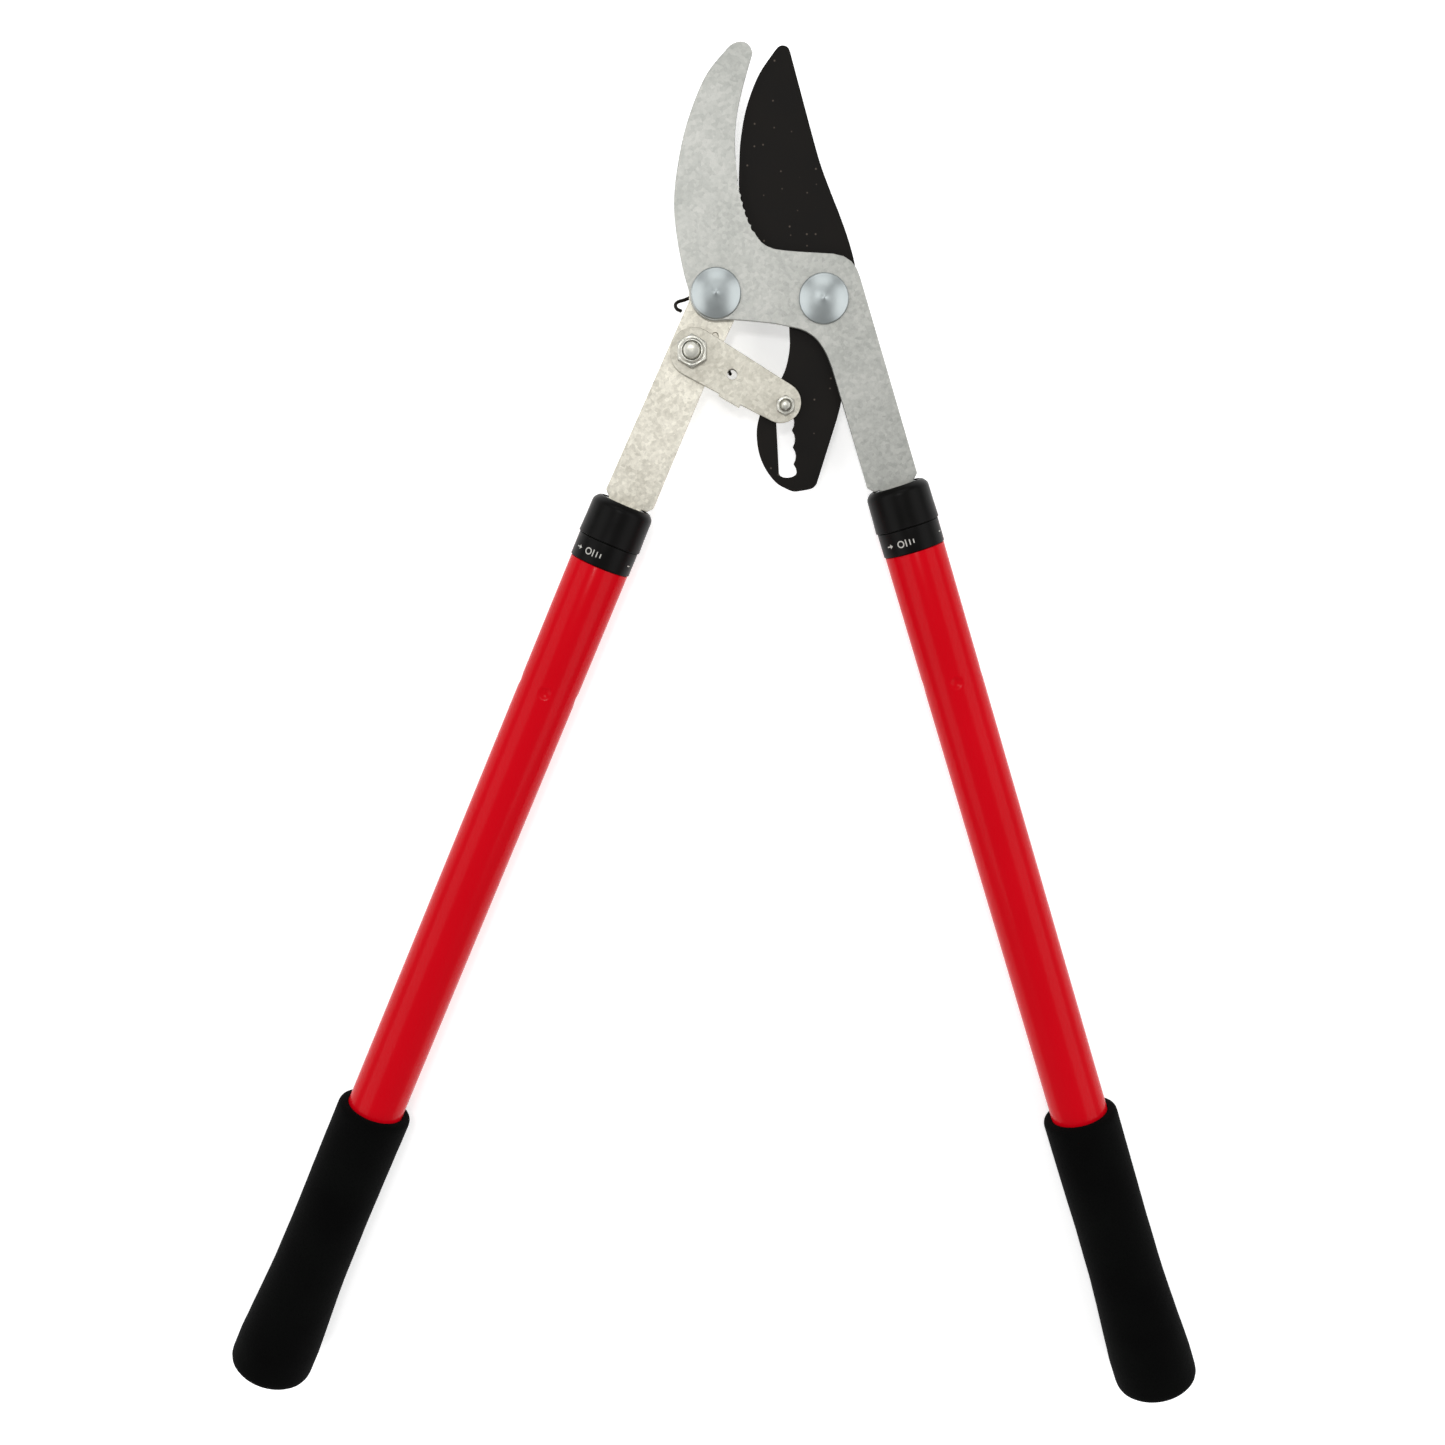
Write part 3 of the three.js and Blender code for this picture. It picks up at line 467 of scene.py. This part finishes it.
def turnedPiece(name, profile, place, axis, steps):
    # a closed solid turned from a profile of (radius, height along the axis) in mm
    aside = axis.cross(Vector((0.3, 0.2, 0.93)) if abs(axis.z) < 0.5 else Vector((0, 1, 0))).normalized()
    points = [place + (axis * height + aside * radius) * mm for radius, height in profile]
    mesh = bpy.data.meshes.new(name)
    mesh.from_pydata([tuple(point) for point in points], [(i, i + 1) for i in range(len(points) - 1)], [])
    piece = bpy.data.objects.new(name, mesh)
    bpy.context.scene.collection.objects.link(piece)
    inEditMode(piece)
    bpy.ops.mesh.spin(steps=steps, angle=2 * math.pi, center=place, axis=axis)
    bpy.ops.mesh.select_all(action="SELECT")
    bpy.ops.mesh.remove_doubles(threshold=mergeDistance)
    bpy.ops.mesh.normals_make_consistent(inside=False)
    bpy.ops.object.mode_set(mode="OBJECT")
    return piece


def cut(piece, tool, operation):
    boolean = piece.modifiers.new("cut", "BOOLEAN")
    boolean.operation = operation
    boolean.solver = "EXACT"
    boolean.object = tool
    applyModifiers(piece)
    bpy.data.objects.remove(tool)


def finishPiece(piece, material, body, *replaced):
    piece.data.materials.clear()
    piece.data.materials.append(material)
    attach(piece, body)
    if replaced:
        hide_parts(*replaced)
    return piece


def rounded(corner, towards, away, radius, steps=5):
    # points of a round-over at a profile's corner, between the points before and after it
    before, after = Vector(towards) - Vector(corner), Vector(away) - Vector(corner)
    one = Vector(corner) + before.normalized() * radius
    two = Vector(corner) + after.normalized() * radius
    out = []
    for i in range(steps + 1):
        t = i / steps
        out.append(tuple(one * (1 - t) ** 2 + Vector(corner) * 2 * t * (1 - t) + two * t ** 2))
    return out


def softProfile(points, radii):
    # a profile with each inner corner rounded by its radius in mm, 0 for none
    out = [points[0]]
    for i in range(1, len(points) - 1):
        if radii.get(i):
            out += rounded(points[i], points[i - 1], points[i + 1], radii[i])
        else:
            out.append(points[i])
    return out + [points[-1]]


# The flat plates, with the rounding of their edges in mm.
plates = {
    "hook_plate": {"material": hookSheet, "body": "right_frame", "round": 0.3},
    "left_arm": {"material": armSheet, "body": "left_frame", "round": 0.3},
    "ratchet_link": {"material": linkSheet, "body": "link", "round": 0.3},
    "cutting_blade": {"material": coatedBlade, "body": "blade", "round": 0.15},
}
scallops = {"low": 20, "high": 60, "left": -45, "right": -24}  # toothed edge, in mm from the blade pivot
slot = {"reach": 44, "right": 6}                               # the blade's tail, in mm from the ratchet pin


def isScalloped(place):
    return scallops["low"] < place.y < scallops["high"] and scallops["left"] < place.x < scallops["right"]


def softenPlate(piece, width, keepScallops):
    # rounds the sharp edges but leaves the toothed stretch of the hook as crisp as it was pressed
    inEditMode(piece, "EDGE")
    bpy.ops.mesh.select_all(action="DESELECT")
    bpy.ops.mesh.edges_select_sharp(sharpness=math.radians(40))
    bpy.ops.object.mode_set(mode="OBJECT")
    if keepScallops:
        for edge in piece.data.edges:
            ends = [(piece.data.vertices[i].co - bladePivot) / mm for i in edge.vertices]
            if any(isScalloped(end) for end in ends):
                edge.select = False
    bpy.ops.object.mode_set(mode="EDIT")
    bpy.ops.mesh.bevel(offset=width * mm, segments=2, affect="EDGES", clamp_overlap=False)
    bpy.ops.object.mode_set(mode="OBJECT")


def makePlates():
    for node, facts in plates.items():
        piece = copyOfNode(node, "rounded_" + node)
        softenPlate(piece, facts["round"], node == "hook_plate")
        finishPiece(piece, facts["material"], facts["body"], node)
        smoothUnder(piece, 20)
        for face in piece.data.polygons:                       # the broad faces stay dead flat
            if abs(face.normal.z) > 0.9999:
                face.use_smooth = False
        if node == "cutting_blade":
            piece.data.materials.append(brownSteel)
            for face in piece.data.polygons:
                fromPin = (face.center.xy - ratchetPoint.xy) / mm
                if abs(face.normal.z) < 0.3 and fromPin.length < slot["reach"] and fromPin.x < slot["right"]:
                    face.material_index = 1


makePlates()
print("plates made")


# Pivot heads, bolts and nuts. The head's rim is given from its radius and from its seat.
head = {
    "rim": 1.6, "dome": 3.4, "shank": 4.0,
    "thread": 1.25, "threadDepth": 0.35, "threadFrom": 0.6, "threadTo": 9.0,
}
rimShape = [(-0.5, 0), (-0.12, 0.18), (0, 0.5), (0, 0.85), (-0.14, 1.2), (-0.42, 1.46), (-0.85, 1.6)]
domeSteps = 24
lockNuts = {
    "hook_pivot_nut": {"body": "right_frame", "across": 13, "hole": 8.15, "collarAbove": False},
    "blade_pivot_nut": {"body": "right_frame", "across": 13, "hole": 8.15, "collarAbove": False},
    "link_pivot_nut": {"body": "left_frame", "across": 13, "hole": 8.15, "collarAbove": True},
    "ratchet_pin_nut": {"body": "link", "across": 8, "hole": 5.1, "collarAbove": True},
}
hexBolts = {
    "link_pivot_bolt": {"body": "left_frame", "across": 13, "headHigh": 5.3, "shank": 4.0},
    "ratchet_pin": {"body": "link", "across": 8, "headHigh": 3.5, "shank": 2.5},
}


def threadRings(radius, low, high):
    # a rolled thread drawn as rings a pitch apart
    rings = []
    pitch = head["thread"]
    root = radius - head["threadDepth"]
    count = int((high - low) / pitch)
    for i in range(count):
        at = low + i * pitch
        rings += [(radius, at), (radius, at + 0.25 * pitch)]
        rings += [(root, at + 0.6 * pitch), (root, at + 0.75 * pitch)]
    return rings + [(radius, low + count * pitch)]


def makeDomedBolt(node, body):
    low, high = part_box(node)
    middle = middleOf(node)
    tall = (high.z - low.z) / mm
    radius = (high.x - low.x) / 2 / mm
    seat = tall - head["dome"] - head["rim"]
    shank = head["shank"]
    thread = threadRings(shank, head["threadFrom"], head["threadTo"])
    profile = [(0, 0), (shank - 0.6, 0)] + thread + [(shank, thread[-1][1] + 0.4), (shank, seat)]
    profile += [(radius + out, seat + above) for out, above in rimShape]
    reach = profile[-1][0]
    for i in range(1, domeSteps + 1):                          # a low dome that draws up to a small point
        share = 1 - i / domeSteps
        rise = head["dome"] * (0.78 * (1 - share ** 2) + 0.22 * (1 - share) ** 8)
        profile.append((reach * share, seat + head["rim"] + rise))
    piece = turnedPiece("domed_" + node, profile, Vector((middle.x, middle.y, low.z)), up, 72)
    smoothUnder(piece, 35)
    finishPiece(piece, headZinc, body, node)


def addHexagon(name, across, thick, middle):
    # a plain hexagon of a width across its flats, standing on end
    radius = across / math.sqrt(3)
    bpy.ops.mesh.primitive_cylinder_add(vertices=6, radius=radius * mm, depth=thick * mm, location=middle)
    hexagon = bpy.context.object
    hexagon.name = name
    settle(hexagon)
    return hexagon


def makeLockNut(node, body, across, hole, collarAbove):
    # a hex nut with the round collar that holds its locking ring
    low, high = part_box(node)
    middle = middleOf(node)
    tall = (high.z - low.z) / mm
    half, corner = across / 2, across / math.sqrt(3)
    flat = tall * 0.68                                         # the hexagon's share of the height
    base = low.z if collarAbove else high.z
    axis = up if collarAbove else -up
    nut = addHexagon("lock_" + node, across, flat, (middle.x, middle.y, base + axis.z * flat / 2 * mm))
    place = Vector((middle.x, middle.y, base))
    crown = turnedPiece("crown", [
        (0, 0), (half - 0.1, 0), (corner + 0.1, (corner - half) * 0.6), (corner + 0.1, flat - 0.75),
        (half - 0.2, flat), (half - 0.9, flat + 0.02), (half - 1.0, flat + 0.2),
        (half - 1.05, tall - 0.9), (half - 1.3, tall - 0.35), (half - 1.7, tall), (0, tall),
    ], place, axis, 60)
    ringHolder = turnedPiece("collar", [
        (0, flat - 1), (half - 1.0, flat - 1), (half - 1.05, tall - 0.9), (half - 1.3, tall - 0.35),
        (half - 1.75, tall), (0, tall),
    ], place, axis, 60)
    cut(nut, crown, "INTERSECT")
    cut(nut, ringHolder, "UNION")
    bore = turnedPiece("bore", [
        (0, -1), (hole / 2 + 0.5, -1), (hole / 2 + 0.5, 0.1), (hole / 2, 0.6), (hole / 2, tall - 1.2),
        (hole / 2 + 0.12, tall - 0.5), (hole / 2 + 0.4, tall + 0.5), (0, tall + 0.5),
    ], place, axis, 48)
    cut(nut, bore, "DIFFERENCE")
    softenEdges(nut, 0.1, 30)
    smoothUnder(nut, 28)
    finishPiece(nut, plainNut, body, node)


def makeHexBolt(node, body, across, headHigh, shank):
    # head below, rolled thread and rounded point above
    low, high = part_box(node)
    middle = middleOf(node)
    tall = (high.z - low.z) / mm
    half, corner = across / 2, across / math.sqrt(3)
    place = Vector((middle.x, middle.y, low.z))
    bolt = addHexagon("threaded_" + node, across, headHigh, (middle.x, middle.y, low.z + headHigh / 2 * mm))
    crown = turnedPiece("crown", [
        (0, 0), (half - 0.15, 0), (corner + 0.1, (corner - half) * 0.7), (corner + 0.1, headHigh),
        (0, headHigh),
    ], place, up, 60)
    cut(bolt, crown, "INTERSECT")
    thread = threadRings(shank, tall - 9.0, tall - 0.9)
    profile = [(0, headHigh - 1), (shank, headHigh - 1), (shank, thread[0][1] - 0.2)] + thread
    profile += [(shank - 0.7, tall - 0.12), (shank - 0.95, tall), (0, tall)]
    shaft = turnedPiece("shaft", profile, place, up, 48)
    cut(bolt, shaft, "UNION")
    softenEdges(bolt, 0.12, 50)
    smoothUnder(bolt, 32)
    finishPiece(bolt, plainNut, body, node)


makeDomedBolt("hook_pivot_bolt", "right_frame")
makeDomedBolt("blade_pivot_bolt", "right_frame")
for node, facts in lockNuts.items():
    makeLockNut(node, **facts)
for node, facts in hexBolts.items():
    makeHexBolt(node, **facts)
print("fasteners made")


# Small pieces that keep their CAD shape, with soft edges: material, body and the edge's width in mm.
smallPieces = {
    "hook_pivot_washer": (plainNut, "right_frame", 0.2),
    "blade_pivot_washer": (plainNut, "right_frame", 0.2),
    "link_pivot_washer": (plainNut, "left_frame", 0.2),
    "ratchet_roller": (tubeSteel, "link", 0.2),
}
handlePieces = {
    "inner_tube": (tubeSteel, "frame", 0.25),
    "tang_plug": (bushPlastic, "frame", 0.3),
    "upper_tang_pin": (plainNut, "frame", 0.3),
    "lower_tang_pin": (plainNut, "frame", 0.3),
    "guide_bush": (bushPlastic, "slider", 0.2),
    "end_stop": (bushPlastic, "frame", 0.2),
    "lock_collet": (bushPlastic, "slider", 0.2),
    "end_plug": (collarPlastic, "slider", 0.3),
}
for side in ("right", "left"):
    for ending, (material, body, soft) in handlePieces.items():
        smallPieces[side + "_" + ending] = (material, side + "_" + body, soft)


def makeSmallPieces():
    for node, (material, body, soft) in smallPieces.items():
        piece = copyOfNode(node, "soft_" + node)
        softenEdges(piece, soft, 50)
        smoothUnder(piece, 38)
        finishPiece(piece, material, body, node)


makeSmallPieces()
print("small pieces made")


# Handles. Every height is in mm down the handle from the lock collar's mouth.
play = 0.3                                                     # the gap left between pieces
tube = {
    "radius": 14.0, "bore": 12.8, "lip": 0.4, "fineStep": 0.5, "coarseStep": 24,
    "dimples": 4, "dimpleAt": 94.5, "dimpleDepth": 0.95, "dimpleRadius": 3.4,
}
collar = {
    "radius": 14.7, "bore": 11.35, "length": 19.0, "flare": 0.3, "step": 2.4,
    "seatBore": 12.55, "skirtBore": 13.35, "spigotTop": 10.0,
}
band = {
    "radius": 14.4, "top": 19.3, "length": 11.2, "sleeveBore": 11.35, "spigot": 13.0,
    "insert": 12.45, "insertLength": 22,
}
grip = {
    "handle": 479.5, "length": 155, "bore": 14.35, "wall": 4.15, "waist": 0.3, "flare": 2.25,
    "shoulder": 3.0, "end": 4.7, "ring": 3, "unevenness": 0.25,
}


def facingUp(direction, axis):
    # the direction across the handle that looks up from the table
    front = direction.cross(axis).normalized()
    return -front if front.z < 0 else front


def makeOuterTube(side):
    top = band["top"] + band["length"] + play
    bottom = grip["handle"] - grip["end"] - 2 * play
    dimpleAt, fine, coarse = tube["dimpleAt"], tube["fineStep"], tube["coarseStep"]
    heights = [top + 0.5] + [dimpleAt + (i - 14) * fine for i in range(29)]       # fine rings at the dimples
    count = int((bottom - dimpleAt - coarse) / coarse) + 1
    heights += [dimpleAt + coarse / 2 + i * coarse for i in range(count)]
    heights += [bottom]
    profile = [(tube["bore"], bottom), (tube["bore"], top), (tube["radius"] - tube["lip"], top)]
    profile += [(tube["radius"] - 0.12, top + 0.12)]
    profile += [(tube["radius"], height) for height in heights]
    profile += [(tube["bore"], bottom)]
    piece = turnedPiece("enamelled_" + side + "_outer_tube", profile, mouths[side], downTube[side], 128)
    axis = downTube[side]
    across = axis.cross(up).normalized()
    front = facingUp(across, axis)
    centres = []
    for i in range(tube["dimples"]):
        turn = i / tube["dimples"] * 2 * math.pi
        out = front * math.cos(turn) + across * math.sin(turn)
        centres.append((mouths[side] + (axis * dimpleAt + out * tube["radius"]) * mm, out))
    for vertex in piece.data.vertices:
        offAxis = vertex.co - mouths[side]
        offAxis -= axis * offAxis.dot(axis)
        if offAxis.length < (tube["radius"] + tube["bore"]) / 2 * mm:     # the bore stays round
            continue
        for centre, out in centres:
            away = (vertex.co - centre).length / (tube["dimpleRadius"] * mm)
            if away < 1:
                vertex.co -= out * tube["dimpleDepth"] * mm * (1 - away ** 2) ** 1.5
    smoothUnder(piece, 40)
    finishPiece(piece, tubeEnamel, side + "_slider", side + "_outer_tube")


def makeCollar(side):
    length, radius, bore, step = collar["length"], collar["radius"], collar["bore"], collar["step"]
    points = [
        (bore, step), (collar["seatBore"], step), (collar["skirtBore"], collar["spigotTop"]),
        (collar["skirtBore"], length), (radius + collar["flare"], length), (radius + 0.22, length - 0.9),
        (radius, length * 0.55), (radius - 0.1, step), (radius - step, 0), (bore, 0), (bore, step),
    ]
    profile = softProfile(points, {4: 0.35, 7: 1.5, 8: 1.1, 9: 0.3})
    piece = turnedPiece("moulded_" + side + "_lock_collar", profile, mouths[side], downTube[side], 96)
    smoothUnder(piece, 32)
    finishPiece(piece, collarPlastic, side + "_collar", side + "_lock_collar")


def makeSleeve(side):
    top, bottom = band["top"], band["top"] + band["length"]
    bore, spigotTop, insertEnd = band["sleeveBore"], collar["spigotTop"], bottom + band["insertLength"]
    points = [
        (bore, spigotTop), (bore, insertEnd), (band["insert"], insertEnd), (band["insert"], bottom),
        (band["radius"], bottom), (band["radius"], top), (band["spigot"], top), (band["spigot"], spigotTop),
        (bore, spigotTop),
    ]
    profile = softProfile(points, {2: 0.3, 4: 0.35, 5: 0.4, 7: 0.3})
    piece = turnedPiece("moulded_" + side + "_lock_sleeve", profile, mouths[side], downTube[side], 96)
    smoothUnder(piece, 32)
    finishPiece(piece, collarPlastic, side + "_slider", side + "_lock_sleeve")


def makeGrip(side):
    end, bore = grip["handle"], grip["bore"]
    radius = bore + grip["wall"]
    flare = radius + grip["flare"]
    top = end - grip["length"]
    points = [
        (bore, top), (radius, top), (radius - grip["waist"], top + grip["length"] * 0.4), (radius, end - 58),
        (flare - 0.8, end - 32), (flare, end - 17), (flare, end), (0, end), (0, end - grip["end"]),
        (bore, end - grip["end"]), (bore, top),
    ]
    profile = softProfile(points, {1: grip["shoulder"], 3: 14, 4: 10, 6: 5.5})
    dense = [profile[0]]
    for point in profile[1:]:                                  # extra rings, so that the foam can be uneven
        last = dense[-1]
        span = math.dist(last, point)
        if point[0] > bore + 1 and last[0] > bore + 1 and span > grip["ring"]:
            count = int(span / grip["ring"]) + 1
            wide, tall = point[0] - last[0], point[1] - last[1]
            dense += [(last[0] + wide * i / count, last[1] + tall * i / count) for i in range(1, count)]
        dense.append(point)
    piece = turnedPiece("foam_" + side + "_grip", dense, mouths[side], downTube[side], 96)
    axis = downTube[side]
    for vertex in piece.data.vertices:
        offAxis = vertex.co - mouths[side]
        along = offAxis.dot(axis)
        offAxis -= axis * along
        if offAxis.length > (bore + 1.5) * mm and along < (end - 3) * mm:
            wave = noise.noise(vertex.co * 45) * 0.6 + noise.noise(vertex.co * 130) * 0.25
            vertex.co += offAxis.normalized() * (min(wave, 0) * 1.2 - 0.05) * grip["unevenness"] * mm
    smoothUnder(piece, 45)
    finishPiece(piece, foam, side + "_slider", side + "_grip")


# The white turning marks on the bands: generic ring, ticks, arrow and dash, with their turns in degrees.
marks = {
    "height": 3.3, "thick": 0.06, "proud": 0.03, "stroke": 0.5,
    "ringTurn": -27.0, "arrowTurn": -52.0, "dashTurn": 62.0, "ticks": (2.3, 4.1, 5.9),
}


def flatShape(name, outline):
    # an outline in mm as one filled face
    mesh = bpy.data.meshes.new(name)
    mesh.from_pydata([(x * mm, y * mm, 0) for x, y in outline], [], [list(range(len(outline)))])
    piece = bpy.data.objects.new(name, mesh)
    bpy.context.scene.collection.objects.link(piece)
    return piece


def bar(name, left, right, half):
    return flatShape(name, [(left, -half), (right, -half), (right, half), (left, half)])


def wrapMark(shape, turn, middle, axis, front, across):
    # gives a flat mark its thickness and wraps it round the band
    inEditMode(shape, "FACE")
    bpy.ops.mesh.quads_convert_to_tris()
    bpy.ops.mesh.subdivide(number_cuts=2)
    bpy.ops.mesh.extrude_region_move(TRANSFORM_OT_translate={"value": (0, 0, marks["thick"] * mm)})
    bpy.ops.mesh.select_all(action="SELECT")
    bpy.ops.mesh.normals_make_consistent(inside=False)
    bpy.ops.object.mode_set(mode="OBJECT")
    radius = band["radius"] * mm
    for vertex in shape.data.vertices:
        angle = math.radians(turn) + vertex.co.x / radius
        reach = radius + vertex.co.z + marks["proud"] * mm
        out = front * math.cos(angle) + across * math.sin(angle)
        vertex.co = middle - axis * vertex.co.y + out * reach
    shape.matrix_world = Matrix.Identity(4)


def makeMarks(side):
    stroke = marks["stroke"]
    deselectAll()
    bpy.ops.mesh.primitive_circle_add(vertices=28, radius=marks["height"] / 2 * mm, fill_type="NGON")
    ringMark = bpy.context.object
    inEditMode(ringMark, "FACE")
    bpy.ops.mesh.inset(thickness=stroke * mm)
    bpy.ops.mesh.delete(type="FACE")
    bpy.ops.object.mode_set(mode="OBJECT")
    shapes = [(ringMark, marks["ringTurn"])]
    for start in marks["ticks"]:                               # ticks that grow shorter round the band
        half = marks["height"] / 2 * (1.25 - start / 9)
        shapes.append((bar("tick", start, start + stroke, half), marks["ringTurn"]))
    barb = marks["height"] * 0.32
    arrow = flatShape("arrow", [(-1.2, -stroke / 2), (0.6, -stroke / 2), (0.6, -barb), (2.0, 0), (0.6, barb),
                                (0.6, stroke / 2), (-1.2, stroke / 2)])
    shapes.append((arrow, marks["arrowTurn"]))
    shapes.append((bar("dash", -0.9, 0.9, stroke / 2), marks["dashTurn"]))
    axis = downTube[side]
    across = up.cross(axis).normalized()
    if across.x < 0:
        across.negate()
    front = facingUp(across, axis)
    middle = mouths[side] + axis * (band["top"] + band["length"] * 0.55) * mm
    for shape, turn in shapes:
        wrapMark(shape, turn, middle, axis, front, across)
    deselectAll()
    for shape, turn in shapes:
        shape.select_set(True)
    bpy.context.view_layer.objects.active = ringMark
    bpy.ops.object.join()
    piece = bpy.context.object
    piece.name = "printed_" + side + "_marks"
    inEditMode(piece)
    bpy.ops.mesh.normals_make_consistent(inside=False)
    bpy.ops.object.mode_set(mode="OBJECT")
    finishPiece(piece, printInk, side + "_slider")


for side in ("right", "left"):
    makeOuterTube(side)
    makeCollar(side)
    makeSleeve(side)
    makeGrip(side)
    makeMarks(side)
print("handles made")


# Return spring: a wire that hooks over the left arm, coils behind the hook pivot and ends in the link.
spring = {
    "wire": 1.6, "radius": 7.2, "turns": 1.92, "pitch": 1.8, "firstTurn": 230, "stepsPerTurn": 16,
    "hookAcross": -16.53, "hookDown": -6.8, "holeAlong": 20.9,
}


def makeSpring():
    low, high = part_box("left_arm")
    rear, front = low.z, high.z
    wire = spring["wire"]
    behind = rear - (play + wire / 2) * mm
    cornerX, cornerY = hookPivot.x + spring["hookAcross"] * mm, hookPivot.y + spring["hookDown"] * mm
    path = [
        Vector((cornerX + 0.65 * mm, cornerY - 0.7 * mm, front + wire * 0.7 * mm)),
        Vector((cornerX - 1.35 * mm, cornerY + 0.5 * mm, hookPivot.z - wire * 0.4 * mm)),
        Vector((cornerX - 1.65 * mm, cornerY + 2.9 * mm, hookPivot.z - wire * 1.8 * mm)),
        Vector((cornerX + 2.25 * mm, cornerY + 4.7 * mm, behind)),
        Vector((hookPivot.x - 9.7 * mm, hookPivot.y - 0.9 * mm, behind)),
    ]
    count = round(spring["turns"] * spring["stepsPerTurn"])
    for i in range(count + 1):
        turns = i / count * spring["turns"]
        turn = math.radians(spring["firstTurn"]) + turns * 2 * math.pi
        aside = Vector((math.cos(turn), math.sin(turn), 0)) * spring["radius"] * mm
        path.append(hookPivot + aside + up * (behind - hookPivot.z - turns * spring["pitch"] * mm))
    hole = linkPivot + (ratchetPoint - linkPivot).normalized() * spring["holeAlong"] * mm
    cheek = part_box("ratchet_link")[0].z
    path += [
        Vector((hole.x - 2.4 * mm, hole.y + 5 * mm, cheek - wire * 0.9 * mm)),
        Vector((hole.x - 1.1 * mm, hole.y + 1.2 * mm, cheek - wire * 0.5 * mm)),
        Vector((hole.x - 0.8 * mm, hole.y + 0.5 * mm, cheek + 2.1 * mm)),
    ]
    curve = bpy.data.curves.new("spring path", "CURVE")
    curve.dimensions = "3D"
    line = curve.splines.new("BEZIER")
    line.bezier_points.add(len(path) - 1)
    for point, at in zip(line.bezier_points, path):
        point.co = at
        point.handle_left_type = point.handle_right_type = "AUTO"
    curve.resolution_u = 4
    curve.bevel_depth = wire / 2 * mm
    curve.bevel_resolution = 4
    curve.use_fill_caps = True
    piece = bpy.data.objects.new("coiled_return_spring", curve)
    bpy.context.scene.collection.objects.link(piece)
    makeActive(piece)
    bpy.ops.object.convert(target="MESH")
    piece = bpy.context.object
    inEditMode(piece)
    bpy.ops.mesh.remove_doubles(threshold=mergeDistance)
    bpy.ops.mesh.normals_make_consistent(inside=False)
    bpy.ops.object.mode_set(mode="OBJECT")
    smoothUnder(piece, 50)
    piece.data.materials.clear()
    piece.data.materials.append(springWire)
    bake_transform(piece)
    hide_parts("return_spring")


makeSpring()
print("spring made")
